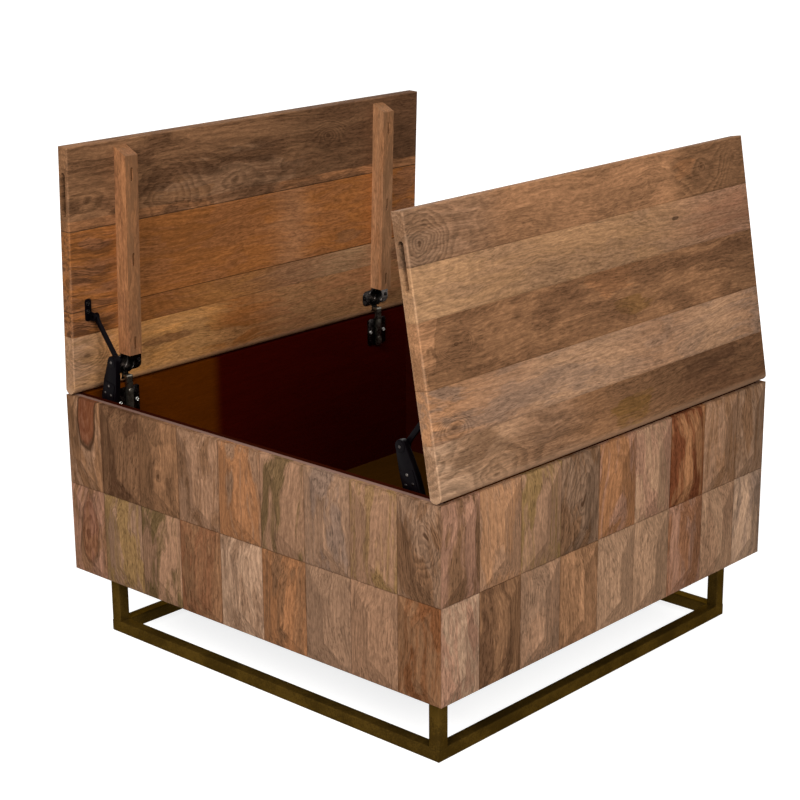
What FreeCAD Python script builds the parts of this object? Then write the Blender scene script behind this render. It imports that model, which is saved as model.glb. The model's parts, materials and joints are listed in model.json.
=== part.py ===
import FreeCAD, Part
import os
import re
import Sketcher

# Storage trunk coffee table in millimetres, Z up, with its origin on the floor under the middle.
# The front is -Y. Two lids hinge along the left (-X) and right (+X) top edges and stand open.

COLUMNS = 9
ROWS = 2
FACE_TURNS = {"front": 0, "right": 90, "back": 180, "left": 270}
SIDES = ("left", "right")
PLANK_WORDS = {"left": ("one", "two", "three"), "right": ("one", "two", "three", "four")}
# The front end of the table lies at this sign of y in each side's own frame.
FRONT = {"left": -1, "right": 1}
# Small fasteners and pins have six sides, inscribed in their round section.
PEG_SIDES = 6
SLOT_END_SIDES = 8

SIZES = {
    # overall
    "body_width": 800, "body_depth": 800, "base_height": 112, "body_height": 297,
    # sled base of square tube
    "tube_size": 20, "tube_wall": 2, "base_inset": 39,
    "leg_plate_size": 60, "leg_plate_thickness": 4, "leg_screw_margin": 10,
    # carcass and its cladding of faceted blocks
    "wall_thickness": 16, "floor_thickness": 16, "block_edge": 8, "block_relief": 10,
    "block_width": 91, "hip_run": 38, "ridge_flat": 2, "block_seam": 0.6,
    # lids, open as they stand at rest
    "lid_thickness": 22, "lid_gap": 2, "centre_gap": 3, "lid_ease": 1.5,
    "left_open": 88, "right_open": 80,
    "left_plank_one": 134, "left_plank_two": 130, "left_plank_three": 40,
    "right_plank_one": 76.5, "right_plank_two": 74, "right_plank_three": 93, "right_plank_four": 75,
    "groove_start": 40, "groove_length": 70, "groove_width": 10, "groove_depth": 12,
    # battens under the lids
    "batten_width": 25, "batten_depth": 27, "batten_slope": 12, "batten_free_gap": 9,
    "batten_hinge_gap": 52, "slot_length": 22, "slot_width": 5, "slot_depth": 14,
    "slot_free_margin": 42, "slot_hinge_margin": 20,
    # cup hinges
    "hinge_margin": 105, "pin_radius": 1.5, "knuckle_radius": 2.6, "running_gap": 0.05,
    "swing_gap": 0.6, "arm_width": 12, "arm_thickness": 6, "arm_bevel": 3,
    "cup_radius": 17.5, "cup_wall": 0.8, "cup_setback": 33, "cheek": 1.6, "tongue_step": 2.5,
    "flange_length": 66, "flange_height": 28, "flange_thickness": 1.2, "flange_screw_spread": 27,
    "hinge_plate_width": 46, "hinge_plate_height": 50, "hinge_plate_thickness": 3,
    "hinge_plate_drop": 5, "hinge_screw_spread": 17,
    # lid stays
    "bracket_reach": 114, "bracket_stand": 8, "bracket_length": 36, "bracket_width": 12,
    "bracket_foot": 2.5, "bracket_screw_setback": 9, "bracket_screw_pitch": 13,
    "lug_thickness": 3, "lug_radius": 7, "open_pivot_gap": 0.3,
    "link_run": 50, "link_drop": 64, "link_radius": 6, "link_thickness": 5, "link_pin_radius": 2.5,
    "crank_radius": 16, "crank_thickness": 10, "stay_pin_radius": 4, "layer_gap": 0.5,
    "mount_thickness": 3, "mount_width": 40, "mount_height": 62, "mount_screw_margin": 8,
    "pin_head_radius": 6, "pin_head_thickness": 1.5,
    # wood screws
    "screw_radius": 2, "screw_head_radius": 3.5, "screw_head_thickness": 1.5, "screw_bite": 10,
    "screw_gap": 0.1, "fit_gap": 0.15,
    # how far a cutter runs past the face that it starts from
    "overcut": 1,
}

doc = FreeCAD.newDocument("TrunkTable")
sheet = doc.addObject("Spreadsheet::Sheet", "Sizes")
for row_number, (alias, size) in enumerate(SIZES.items(), start=1):
    sheet.set(f"A{row_number}", str(size))
    sheet.setAlias(f"A{row_number}", alias)
doc.recompute()
parts = []


def bound(text):
    """Points every size name in a formula at its cell."""
    return re.sub(r"[a-z][a-z_]*", lambda m: "Sizes." + m[0] if m[0] in SIZES else m[0], str(text))


def value(text):
    return float(sheet.evalExpression(bound(text)))


def bind(piece, **formulas):
    for name, text in formulas.items():
        piece.setExpression(name, bound(text))
    return piece


def at(x, y, z, turn_axis="0; 0; 1", turn="0"):
    return f"placement(vector({x}; {y}; {z}); rotation(vector({turn_axis}); {turn}))"


def box(x0, x1, y0, y1, z0, z1):
    piece = doc.addObject("Part::Box", "Box")
    bind(piece, Length=f"({x1}) - ({x0})", Width=f"({y1}) - ({y0})", Height=f"({z1}) - ({z0})")
    return bind(piece, Placement=at(x0, y0, z0))


AXIS_TURNS = {"x": ("1; 1; 1", "120"), "y": ("1; 0; 0", "-90"), "z": ("0; 0; 1", "0")}


def cylinder(axis, radius, x, y, z, length):
    """A cylinder that starts at a point and runs along +x, +y or +z."""
    piece = doc.addObject("Part::Cylinder", "Cylinder")
    bind(piece, Radius=radius, Height=length)
    return bind(piece, Placement=at(x, y, z, *AXIS_TURNS[axis]))


def peg(axis, radius, x, y, z, length, sides=PEG_SIDES):
    """A bar with flat sides that starts at a point and runs along +x, +y or +z."""
    piece = doc.addObject("Part::Prism", "Peg")
    piece.Polygon = sides
    bind(piece, Circumradius=radius, Height=length)
    return bind(piece, Placement=at(x, y, z, *AXIS_TURNS[axis]))


def wedge(y0, y1, x0, x1, z0, z1, far_x0, far_x1, far_z0, far_z1):
    """A solid between a rectangle at y0 and another at y1."""
    piece = doc.addObject("Part::Wedge", "Wedge")
    return bind(piece, Ymin=y0, Ymax=y1, Xmin=x0, Xmax=x1, Zmin=z0, Zmax=z1,
                X2min=far_x0, X2max=far_x1, Z2min=far_z0, Z2max=far_z1)


def fuse(*pieces):
    piece = doc.addObject("Part::MultiFuse", "Fuse")
    piece.Shapes = list(pieces)
    piece.Refine = True
    return piece


def cut(base, *tools):
    piece = doc.addObject("Part::Cut", "Cut")
    piece.Base = base
    piece.Tool = tools[0] if len(tools) == 1 else fuse(*tools)
    return piece


def common(first, second):
    piece = doc.addObject("Part::Common", "Common")
    piece.Base = first
    piece.Tool = second
    return piece


def group(pieces):
    piece = doc.addObject("Part::Compound", "Group")
    piece.Links = list(pieces)
    return piece


def padded(plane, corners, thickness):
    """A body whose outline on one of its origin planes is padded to both sides alike."""
    body = doc.addObject("PartDesign::Body", "Body")
    sketch = body.newObject("Sketcher::SketchObject", "Outline")
    origin_plane = next(f for f in body.Origin.OriginFeatures if f.Role == plane)
    sketch.AttachmentSupport = (origin_plane, [""])
    sketch.MapMode = "FlatFace"
    spots = [FreeCAD.Vector(value(x), value(y), 0) for x, y in corners]
    count = len(corners)
    for i in range(count):
        sketch.addGeometry(Part.LineSegment(spots[i], spots[(i + 1) % count]))
    for i in range(count):
        sketch.addConstraint(Sketcher.Constraint("Coincident", i, 2, (i + 1) % count, 1))
    for i, corner in enumerate(corners):
        for kind, axis, text, start in zip(("DistanceX", "DistanceY"), (-2, -1), corner, spots[i]):
            if text == "0":
                sketch.addConstraint(Sketcher.Constraint("PointOnObject", i, 1, axis))
            else:
                number = sketch.addConstraint(Sketcher.Constraint(kind, -1, 1, i, 1, start))
                sketch.setExpression(f"Constraints[{number}]", bound(text))
    pad = body.newObject("PartDesign::Pad", "Pad")
    pad.Profile = sketch
    pad.SideType = "Symmetric"
    bind(pad, Length=thickness)
    return body


def finish(label, piece, placement=None):
    """Names a finished sub-part and, where it is built in another frame, puts it in its place."""
    piece.Label = label
    if placement:
        bind(piece, Placement=placement)
    parts.append(piece)


# Places that several pieces share
RIM = "(base_height + body_height)"
AXIS_RISE = f"({RIM} + lid_gap + lid_thickness / 2)"
AXIS_INSET = "(lid_thickness / 2)"
LID_REACH = "((body_width - centre_gap - lid_thickness) / 2)"
LID_FACE = "(-lid_thickness / 2)"
WALL_FACE = "(block_edge + wall_thickness)"
SCREW_HOLE = "screw_radius + screw_gap"
HINGE_PLACE = "(body_depth / 2 - hinge_margin)"


def face_frame(face):
    """Span of a body face, its distance from the middle, and the turn that brings it round."""
    if face in ("front", "back"):
        return "body_width", "(body_depth / 2)", FACE_TURNS[face]
    return "body_depth", "(body_width / 2)", FACE_TURNS[face]


def turned(turn):
    return at(0, 0, 0, "0; 0; 1", turn)


def side_frame(side, inward="0", rise="0", tilt="0"):
    """A frame on the left or right end: x runs inwards and tilts up about y, the lid axis's direction."""
    if side == "left":
        return at(f"({inward}) - body_width / 2", 0, rise, "0; 1; 0", f"-({tilt})")
    half = f"({tilt}) / 2"
    return at(f"body_width / 2 - ({inward})", 0, rise, f"sin({half}); 0; cos({half})", "180")


def lid_frame(side):
    return side_frame(side, AXIS_INSET, AXIS_RISE, f"{side}_open * 1 deg")


def placed(pieces, placement):
    return bind(group(pieces), Placement=placement)


def screw(axis, x, y, z, grip, towards, head_radius="screw_head_radius"):
    """A wood screw that seats at a point: it bites along +axis (towards 1) or -axis (towards -1)."""
    start = {"x": x, "y": y, "z": z}
    shank_start = dict(start)
    head_start = dict(start)
    length = f"({grip} + screw_bite)"
    if towards > 0:
        head_start[axis] = f"({start[axis]}) - screw_head_thickness"
    else:
        shank_start[axis] = f"({start[axis]}) - {length}"
    shank = peg(axis, "screw_radius", *shank_start.values(), length)
    head = peg(axis, head_radius, *head_start.values(), "screw_head_thickness")
    return fuse(shank, head)


# Sled base: four mitred floor rails, four legs, and a plate on each leg
def make_rail(face):
    span, reach, turn = face_frame(face)
    outer = f"-({reach} - base_inset)"
    inner = f"({outer} + tube_size)"
    long_half = f"({span} / 2 - base_inset)"
    short_half = f"({long_half} - tube_size)"
    bar = wedge(outer, inner, f"-{long_half}", long_half, "0", "tube_size",
                f"-{short_half}", short_half, "0", "tube_size")
    hollow = box(f"-{long_half} - overcut", f"{long_half} + overcut", f"{outer} + tube_wall",
                 f"{inner} - tube_wall", "tube_wall", "tube_size - tube_wall")
    finish(f"rail_{face}", cut(bar, hollow), turned(turn))


def corner_range(sign, half, size):
    """The span of a square of one size whose outer edge lies half away from the middle."""
    return (f"{half} - {size}", half) if sign > 0 else (f"-{half}", f"-{half} + {size}")


HALF_BASE_X = "(body_width / 2 - base_inset)"
HALF_BASE_Y = "(body_depth / 2 - base_inset)"
PLATE_UNDERSIDE = "(base_height - leg_plate_thickness)"
CORNERS = {"front_left": (-1, -1), "front_right": (1, -1), "back_left": (-1, 1), "back_right": (1, 1)}


def make_leg(name, sign_x, sign_y):
    x0, x1 = corner_range(sign_x, HALF_BASE_X, "tube_size")
    y0, y1 = corner_range(sign_y, HALF_BASE_Y, "tube_size")
    outside = box(x0, x1, y0, y1, "tube_size", PLATE_UNDERSIDE)
    inside = box(f"{x0} + tube_wall", f"{x1} - tube_wall", f"{y0} + tube_wall", f"{y1} - tube_wall",
                 "tube_size - overcut", f"{PLATE_UNDERSIDE} + overcut")
    finish(f"leg_{name}", cut(outside, inside))


def leg_screw_spots():
    """Two screws in each leg plate, beside the leg on its two inner edges."""
    near = "leg_screw_margin"
    far = "(leg_plate_size - leg_screw_margin)"
    return [(f"{sign_x} * ({HALF_BASE_X} - {inset_x})", f"{sign_y} * ({HALF_BASE_Y} - {inset_y})")
            for sign_x, sign_y in CORNERS.values()
            for inset_x, inset_y in ((far, near), (near, far))]


def make_leg_plates():
    plates = []
    for number, (sign_x, sign_y) in enumerate(CORNERS.values()):
        x0, x1 = corner_range(sign_x, HALF_BASE_X, "leg_plate_size")
        y0, y1 = corner_range(sign_y, HALF_BASE_Y, "leg_plate_size")
        plate = box(x0, x1, y0, y1, PLATE_UNDERSIDE, "base_height")
        holes = [peg("z", SCREW_HOLE, x, y, f"{PLATE_UNDERSIDE} - overcut",
                     "leg_plate_thickness + 2 * overcut")
                 for x, y in leg_screw_spots()[2 * number:2 * number + 2]]
        plates.append(cut(plate, *holes))
    finish("leg_plates", group(plates))
    finish("leg_plate_screws", group(screw("z", x, y, PLATE_UNDERSIDE, "leg_plate_thickness", 1)
                                     for x, y in leg_screw_spots()))


# Carcass: the floor panel inside four walls
def make_floor():
    half_x = f"(body_width / 2 - {WALL_FACE})"
    half_y = f"(body_depth / 2 - {WALL_FACE})"
    panel = box(f"-{half_x}", half_x, f"-{half_y}", half_y, "base_height", "base_height + floor_thickness")
    holes = [peg("z", SCREW_HOLE, x, y, "base_height - overcut", "screw_bite + 2 * overcut")
             for x, y in leg_screw_spots()]
    finish("floor_panel", cut(panel, *holes))


HINGE_PLATE_TOP = f"({RIM} - hinge_plate_drop)"
HINGE_SCREW_RISE = f"({HINGE_PLATE_TOP} - hinge_plate_height / 2)"
STAY_INSET = f"({AXIS_INSET} + link_run)"
STAY_RISE = f"({AXIS_RISE} - link_drop)"
MOUNT_BOTTOM = f"({STAY_RISE} + crank_radius - mount_height)"
MOUNT_SCREW_RISE = f"({MOUNT_BOTTOM} + mount_screw_margin)"
MOUNT_SCREW_SPREAD = "(mount_width / 2 - mount_screw_margin)"


def hinge_screw_places():
    return [f"{sign} * {HINGE_PLACE} + {turn} * hinge_screw_spread" for sign in (-1, 1) for turn in (-1, 1)]


def mount_screw_insets():
    return [f"{STAY_INSET} - {MOUNT_SCREW_SPREAD}", f"{STAY_INSET} + {MOUNT_SCREW_SPREAD}"]


def make_wall(face):
    span, reach, turn = face_frame(face)
    half = f"({span} / 2 - block_edge)" if face in ("front", "back") else f"({span} / 2 - {WALL_FACE})"
    outer = f"(-{reach} + block_edge)"
    inner = f"({outer} + wall_thickness)"
    wall = box(f"-{half}", half, outer, inner, "base_height", RIM)
    spots = []
    if face in ("left", "right"):
        spots = [(place, HINGE_SCREW_RISE) for place in hinge_screw_places()]
    elif face == "front":
        for inset in mount_screw_insets():
            spots += [(f"{sign} * (body_width / 2 - ({inset}))", MOUNT_SCREW_RISE) for sign in (-1, 1)]
    holes = [peg("y", SCREW_HOLE, x, f"{inner} - screw_bite - overcut", z, "screw_bite + 2 * overcut")
             for x, z in spots]
    finish(f"wall_{face}", cut(wall, *holes) if holes else group([wall]), turned(turn))


# Cladding: on each face, rows of blocks with a hipped front and a vertical ridge, mitred at the corners
def seam_place(column, span):
    if column == 0:
        return f"(-{span} / 2)"
    if column == COLUMNS:
        return f"({span} / 2)"
    return f"({column - COLUMNS / 2} * block_width)"


def make_block(span, reach, column, row):
    x0 = f"({seam_place(column, span)} + block_seam / 2)"
    x1 = f"({seam_place(column + 1, span)} - block_seam / 2)"
    z0 = "base_height" if row == 0 else f"(base_height + {row} * body_height / {ROWS} + block_seam / 2)"
    z1 = RIM if row == ROWS - 1 else f"(base_height + {row + 1} * body_height / {ROWS} - block_seam / 2)"
    back_x0 = f"({x0} + block_edge)" if column == 0 else x0
    back_x1 = f"({x1} - block_edge)" if column == COLUMNS - 1 else x1
    front = f"-{reach}"
    slab = wedge(front, f"{front} + block_edge", x0, x1, z0, z1, back_x0, back_x1, z0, z1)
    middle = f"(({x0} + {x1}) / 2)"
    hips = wedge(f"{front} - block_relief", front, f"{middle} - ridge_flat / 2", f"{middle} + ridge_flat / 2",
                 f"{z0} + hip_run", f"{z1} - hip_run", x0, x1, z0, z1)
    return fuse(slab, hips)


def make_cladding(face):
    span, reach, turn = face_frame(face)
    blocks = [make_block(span, reach, column, row) for row in range(ROWS) for column in range(COLUMNS)]
    finish(f"cladding_{face}", group(blocks), turned(turn))


# Lids, built flat in the lid's frame: x from the hinge axis to the free edge, z up to the outer face
CUP_PLACE = "(cup_setback - lid_thickness / 2)"
CUP_FLOOR = "(knuckle_radius + swing_gap)"
CUP_BOTTOM = f"({CUP_FLOOR} + cup_wall)"
SLOT_END = "(knuckle_radius + 2 * swing_gap)"
SLOT_HALF = "(arm_width / 2 + swing_gap)"
TONGUE_HALF = f"({SLOT_HALF} + cheek)"
TONGUE_END = f"({SLOT_END} + cheek)"
BATTEN_FREE_END = f"({LID_REACH} - batten_free_gap)"
BATTEN_HINGE_END = "(batten_hinge_gap - lid_thickness / 2)"
BATTEN_FACE = f"({LID_FACE} - batten_depth)"
SLOT_FLOOR = f"({BATTEN_FACE} + slot_depth)"
PIVOT_DEPTH = "(lid_thickness / 2 + bracket_stand)"

# Layers of a stay, as distances from the front wall's inner face
CRANK_LAYER = ("(mount_thickness + layer_gap)", "(mount_thickness + layer_gap + crank_thickness)")
LINK_LAYER = (f"({CRANK_LAYER[1]} + layer_gap)", f"({CRANK_LAYER[1]} + layer_gap + link_thickness)")
BRACKET_LAYER = (f"({CRANK_LAYER[1]} - bracket_width)", CRANK_LAYER[1])
LUG_LAYER = (f"({CRANK_LAYER[1]} - lug_thickness)", CRANK_LAYER[1])


def from_front_wall(side, distance):
    return f"({FRONT[side]} * (body_depth / 2 - {WALL_FACE} - ({distance})))"


def layer(side, near, far):
    """The y span of a layer, from its lower to its higher y."""
    span = (from_front_wall(side, near), from_front_wall(side, far))
    return span if side == "left" else span[::-1]


def batten_screw_places():
    free = f"({BATTEN_FREE_END} - slot_free_margin)"
    hinge = f"({BATTEN_HINGE_END} + slot_hinge_margin)"
    return [free, f"(({free} + {hinge}) / 2)", hinge]


def flange_screw_spots():
    return [(CUP_PLACE, f"{sign} * {HINGE_PLACE} + {turn} * flange_screw_spread")
            for sign in (-1, 1) for turn in (-1, 1)]


def bracket_screw_spots(side):
    """Two screws in the bracket's foot, in the middle of the strip beside its lug."""
    strip_middle = from_front_wall(side, f"({BRACKET_LAYER[0]} + {LUG_LAYER[0]}) / 2")
    first = "(bracket_reach + bracket_screw_setback)"
    return [(first, strip_middle), (f"({first} + bracket_screw_pitch)", strip_middle)]


def lid_blank():
    """The whole lid with its bullnosed hinge edge and its other edges eased."""
    half = "lid_thickness / 2"
    eased = f"({half} - lid_ease)"
    across = padded("XZ_Plane", [
        ("0", f"-{half}"), (f"{LID_REACH} - lid_ease", f"-{half}"), (LID_REACH, f"-{eased}"),
        (LID_REACH, eased), (f"{LID_REACH} - lid_ease", half), ("0", half)], "body_depth")
    nose = cylinder("y", half, "0", "-body_depth / 2", "0", "body_depth")
    end = "body_depth / 2"
    along = padded("YZ_Plane", [
        (f"-{end}", f"-{eased}"), (f"-{end} + lid_ease", f"-{half}"), (f"{end} - lid_ease", f"-{half}"),
        (end, f"-{eased}"), (end, eased), (f"{end} - lid_ease", half), (f"-{end} + lid_ease", half),
        (f"-{end}", eased)], "2 * body_width")
    return common(fuse(across, nose), along)


def groove_cutters(side):
    """The finger groove in the lid's front end, with round ends."""
    inner_y = f"{FRONT[side]} * (body_depth / 2 - groove_depth)"
    outer_y = f"{FRONT[side]} * (body_depth / 2 + overcut)"
    low, high = (outer_y, inner_y) if side == "left" else (inner_y, outer_y)
    far = f"({LID_REACH} - groove_start - groove_width / 2)"
    near = f"({LID_REACH} - groove_start - groove_length + groove_width / 2)"
    middle = box(near, far, low, high, "-groove_width / 2", "groove_width / 2")
    run = f"{high} - ({low})"
    return [middle] + [cylinder("y", "groove_width / 2", x, low, "0", run) for x in (near, far)]


def lid_cutters(side):
    """What is cut from the planks: finger groove, hinge mortises and screw holes."""
    tools = groove_cutters(side)
    below = f"({LID_FACE} - overcut)"
    for sign in (-1, 1):
        middle = f"{sign} * {HINGE_PLACE}"
        tools.append(cylinder("z", "cup_radius + fit_gap", CUP_PLACE, middle, below,
                              f"{CUP_BOTTOM} + fit_gap - {below}"))
        tools.append(box(f"-{TONGUE_END} - fit_gap", CUP_PLACE, f"{middle} - {TONGUE_HALF} - fit_gap",
                         f"{middle} + {TONGUE_HALF} + fit_gap", below, f"{CUP_BOTTOM} + fit_gap"))
    spots = flange_screw_spots() + bracket_screw_spots(side)
    spots += [(place, f"{sign} * {HINGE_PLACE}") for place in batten_screw_places() for sign in (-1, 1)]
    for x, y in spots:
        tools.append(peg("z", SCREW_HOLE, x, y, below, "screw_bite + 2 * overcut"))
    return tools


def plank_seams(side):
    """Places of the glue seams, from past the free edge to past the hinge edge."""
    seams = [f"({LID_REACH} + overcut)"]
    taken = ""
    for word in PLANK_WORDS[side]:
        taken += f" - {side}_plank_{word}"
        seams.append(f"({LID_REACH}{taken})")
    return seams + ["(-lid_thickness / 2 - overcut)"]


def make_planks(side):
    blank = lid_blank()
    cutter = fuse(*lid_cutters(side))
    seams = plank_seams(side)
    for number, (far, near) in enumerate(zip(seams, seams[1:]), start=1):
        slice_box = box(near, far, "-body_depth", "body_depth", "-lid_thickness", "lid_thickness")
        finish(f"{side}_lid_plank_{number}", cut(common(blank, slice_box), cutter), lid_frame(side))


def batten_slot(place, middle):
    """A long slot with blunt ends, and the screw hole in its floor."""
    start = f"({BATTEN_FACE} - overcut)"
    run = f"({SLOT_FLOOR} - {start})"
    half = "slot_width / 2"
    near = f"({place} - slot_length / 2 + {half})"
    far = f"({place} + slot_length / 2 - {half})"
    ends = [peg("z", half, x, middle, start, run, SLOT_END_SIDES) for x in (near, far)]
    bed = box(near, far, f"{middle} - {half}", f"{middle} + {half}", start, SLOT_FLOOR)
    hole = peg("z", SCREW_HOLE, place, middle, f"{SLOT_FLOOR} - overcut",
               "batten_depth - slot_depth + 2 * overcut")
    return ends + [bed, hole]


def make_battens(side):
    outline = [(BATTEN_HINGE_END, LID_FACE), (BATTEN_FREE_END, LID_FACE),
               (f"{BATTEN_FREE_END} - batten_slope", BATTEN_FACE), (BATTEN_HINGE_END, BATTEN_FACE)]
    screws = []
    for end, sign in (("front", FRONT[side]), ("back", -FRONT[side])):
        middle = f"{sign} * {HINGE_PLACE}"
        bar = bind(padded("XZ_Plane", outline, "batten_width"), Placement=at(0, middle, 0))
        slots = [tool for place in batten_screw_places() for tool in batten_slot(place, middle)]
        finish(f"{side}_lid_batten_{end}", cut(bar, *slots), lid_frame(side))
        screws += [screw("z", place, middle, SLOT_FLOOR, "(batten_depth - slot_depth)", 1,
                         "slot_width / 2 - screw_gap") for place in batten_screw_places()]
    finish(f"{side}_batten_screws", group(screws), lid_frame(side))


# Cup hinges: cup and pin on the lid, gooseneck arm and plate on the wall
def make_hinge_cups(side):
    cups = []
    pins = []
    above = f"({LID_FACE} - flange_thickness - overcut)"
    for sign in (-1, 1):
        middle = f"{sign} * {HINGE_PLACE}"
        disc = cylinder("z", "cup_radius", CUP_PLACE, middle, LID_FACE, f"{CUP_BOTTOM} - {LID_FACE}")
        tongue = box(f"-{TONGUE_END}", CUP_PLACE, f"{middle} - {TONGUE_HALF}", f"{middle} + {TONGUE_HALF}",
                     f"{LID_FACE} + tongue_step", CUP_BOTTOM)
        flange = box(f"{CUP_PLACE} - flange_height / 2", f"{CUP_PLACE} + flange_height / 2",
                     f"{middle} - flange_length / 2", f"{middle} + flange_length / 2",
                     f"{LID_FACE} - flange_thickness", LID_FACE)
        hollow = cylinder("z", "cup_radius - cup_wall", CUP_PLACE, middle, above, f"{CUP_FLOOR} - {above}")
        slot = box(f"-{SLOT_END}", CUP_PLACE, f"{middle} - {SLOT_HALF}", f"{middle} + {SLOT_HALF}",
                   above, CUP_FLOOR)
        pin_start = f"{middle} - {TONGUE_HALF}"
        pin_hole = peg("y", "pin_radius + running_gap", "0", f"{pin_start} - overcut", "0",
                       f"2 * {TONGUE_HALF} + 2 * overcut")
        holes = [peg("z", SCREW_HOLE, CUP_PLACE, f"{middle} + {turn} * flange_screw_spread", above,
                     "flange_thickness + 2 * overcut") for turn in (-1, 1)]
        cups.append(cut(fuse(disc, tongue, flange), hollow, slot, pin_hole, *holes))
        pins.append(peg("y", "pin_radius", "0", pin_start, "0", f"2 * {TONGUE_HALF}"))
    finish(f"{side}_hinge_cups", group(cups), lid_frame(side))
    finish(f"{side}_hinge_pins", group(pins), lid_frame(side))


PLATE_FACE = f"({WALL_FACE} + hinge_plate_thickness)"
ARM_FACE = f"({PLATE_FACE} + arm_thickness)"
ARM_FOOT = f"({HINGE_PLATE_TOP} - hinge_plate_height)"


def make_hinge_arms(side):
    top = f"({AXIS_RISE} + knuckle_radius)"
    under = f"({AXIS_RISE} - knuckle_radius)"
    outline = [(AXIS_INSET, top), (f"{ARM_FACE} - arm_bevel", top), (ARM_FACE, f"{top} - arm_bevel"),
               (ARM_FACE, ARM_FOOT), (PLATE_FACE, ARM_FOOT), (PLATE_FACE, under), (AXIS_INSET, under)]
    arms = []
    for sign in (-1, 1):
        middle = f"{sign} * {HINGE_PLACE}"
        neck = bind(padded("XZ_Plane", outline, "arm_width"), Placement=at(0, middle, 0))
        arm_start = f"{middle} - arm_width / 2"
        knuckle = cylinder("y", "knuckle_radius", AXIS_INSET, arm_start, AXIS_RISE, "arm_width")
        bore = cylinder("y", "pin_radius + running_gap", AXIS_INSET, f"{arm_start} - overcut", AXIS_RISE,
                        "arm_width + 2 * overcut")
        arms.append(cut(fuse(neck, knuckle), bore))
    finish(f"{side}_hinge_arms", group(arms), side_frame(side))


def make_hinge_plates(side):
    plates = []
    for sign in (-1, 1):
        middle = f"{sign} * {HINGE_PLACE}"
        plate = box(WALL_FACE, PLATE_FACE, f"{middle} - hinge_plate_width / 2",
                    f"{middle} + hinge_plate_width / 2", ARM_FOOT, HINGE_PLATE_TOP)
        holes = [peg("x", SCREW_HOLE, f"{WALL_FACE} - overcut", f"{middle} + {turn} * hinge_screw_spread",
                     HINGE_SCREW_RISE, "hinge_plate_thickness + 2 * overcut") for turn in (-1, 1)]
        plates.append(cut(plate, *holes))
    finish(f"{side}_hinge_plates", group(plates), side_frame(side))


def hinge_plate_screws():
    return [screw("x", PLATE_FACE, place, HINGE_SCREW_RISE, "hinge_plate_thickness", -1)
            for place in hinge_screw_places()]


# Lid stays: mount on the front wall, crank, link, and bracket on the lid. The crank is as long as the
# bracket pivot is far from the lid's axis and stays parallel to that line, so the link keeps its slope.
CRANK_LENGTH = f"sqrt(bracket_reach * bracket_reach + {PIVOT_DEPTH} * {PIVOT_DEPTH})"
LINK_LENGTH = "sqrt(link_run * link_run + link_drop * link_drop)"
LINK_TILT = "180 deg - atan(link_drop / link_run)"
BASE_PIVOT = "stay_pin_radius + running_gap"
LINK_PIVOT = "link_pin_radius + running_gap"
OPEN_PIVOT = "link_pin_radius + open_pivot_gap"
LINK_HEAD = f"({LINK_LAYER[1]} + layer_gap)"


def crank_tilt(side):
    return f"{side}_open * 1 deg - atan({PIVOT_DEPTH} / bracket_reach)"


def headed_pin(side, radius, x, z, near, far):
    """A pin across the layers from near to far, with its head beyond far."""
    low, high = layer(side, near, far)
    head_low, head_high = layer(side, far, f"{far} + pin_head_thickness")
    return fuse(peg("y", radius, x, low, z, f"{high} - ({low})"),
                peg("y", "pin_head_radius", x, head_low, z, f"{head_high} - ({head_low})"))


def pivot_cutter(shape, side, radius, x, z, near, far):
    """Cuts a layer for a pin: round where the piece turns on it, six-sided where the pin is held."""
    low, high = layer(side, near, far)
    return shape("y", radius, x, f"{low} - overcut", z, f"{high} - ({low}) + 2 * overcut")


def bar_with_round_ends(side, radius, length, near, far):
    low, high = layer(side, near, far)
    bar = box("0", length, low, high, f"-{radius}", radius)
    ends = [cylinder("y", radius, x, low, "0", f"{high} - ({low})") for x in ("0", length)]
    return fuse(bar, *ends)


def make_stay_mount(side):
    low, high = layer(side, "0", "mount_thickness")
    plate = box(f"{STAY_INSET} - mount_width / 2", f"{STAY_INSET} + mount_width / 2", low, high,
                MOUNT_BOTTOM, f"{MOUNT_BOTTOM} + mount_height")
    holes = [peg("y", SCREW_HOLE, inset, f"{low} - overcut", MOUNT_SCREW_RISE,
                 "mount_thickness + 2 * overcut") for inset in mount_screw_insets()]
    pivot = pivot_cutter(peg, side, BASE_PIVOT, STAY_INSET, STAY_RISE, "0", "mount_thickness")
    finish(f"{side}_stay_mount", cut(plate, pivot, *holes), side_frame(side))


def mount_screws(side):
    seat = from_front_wall(side, "mount_thickness")
    return [screw("y", inset, seat, MOUNT_SCREW_RISE, "mount_thickness", FRONT[side])
            for inset in mount_screw_insets()]


def base_pin(side):
    return headed_pin(side, "stay_pin_radius", STAY_INSET, STAY_RISE, "0", LINK_LAYER[0])


def make_stay_crank(side):
    frame = side_frame(side, STAY_INSET, STAY_RISE, crank_tilt(side))
    bar = bar_with_round_ends(side, "crank_radius", CRANK_LENGTH, *CRANK_LAYER)
    base_bore = pivot_cutter(cylinder, side, BASE_PIVOT, "0", "0", *CRANK_LAYER)
    elbow_hole = pivot_cutter(peg, side, LINK_PIVOT, CRANK_LENGTH, "0", *CRANK_LAYER)
    finish(f"{side}_stay_crank", cut(bar, base_bore, elbow_hole), frame)
    pin = headed_pin(side, "link_pin_radius", CRANK_LENGTH, "0", CRANK_LAYER[0], LINK_HEAD)
    finish(f"{side}_stay_elbow_pin", pin, frame)


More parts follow.
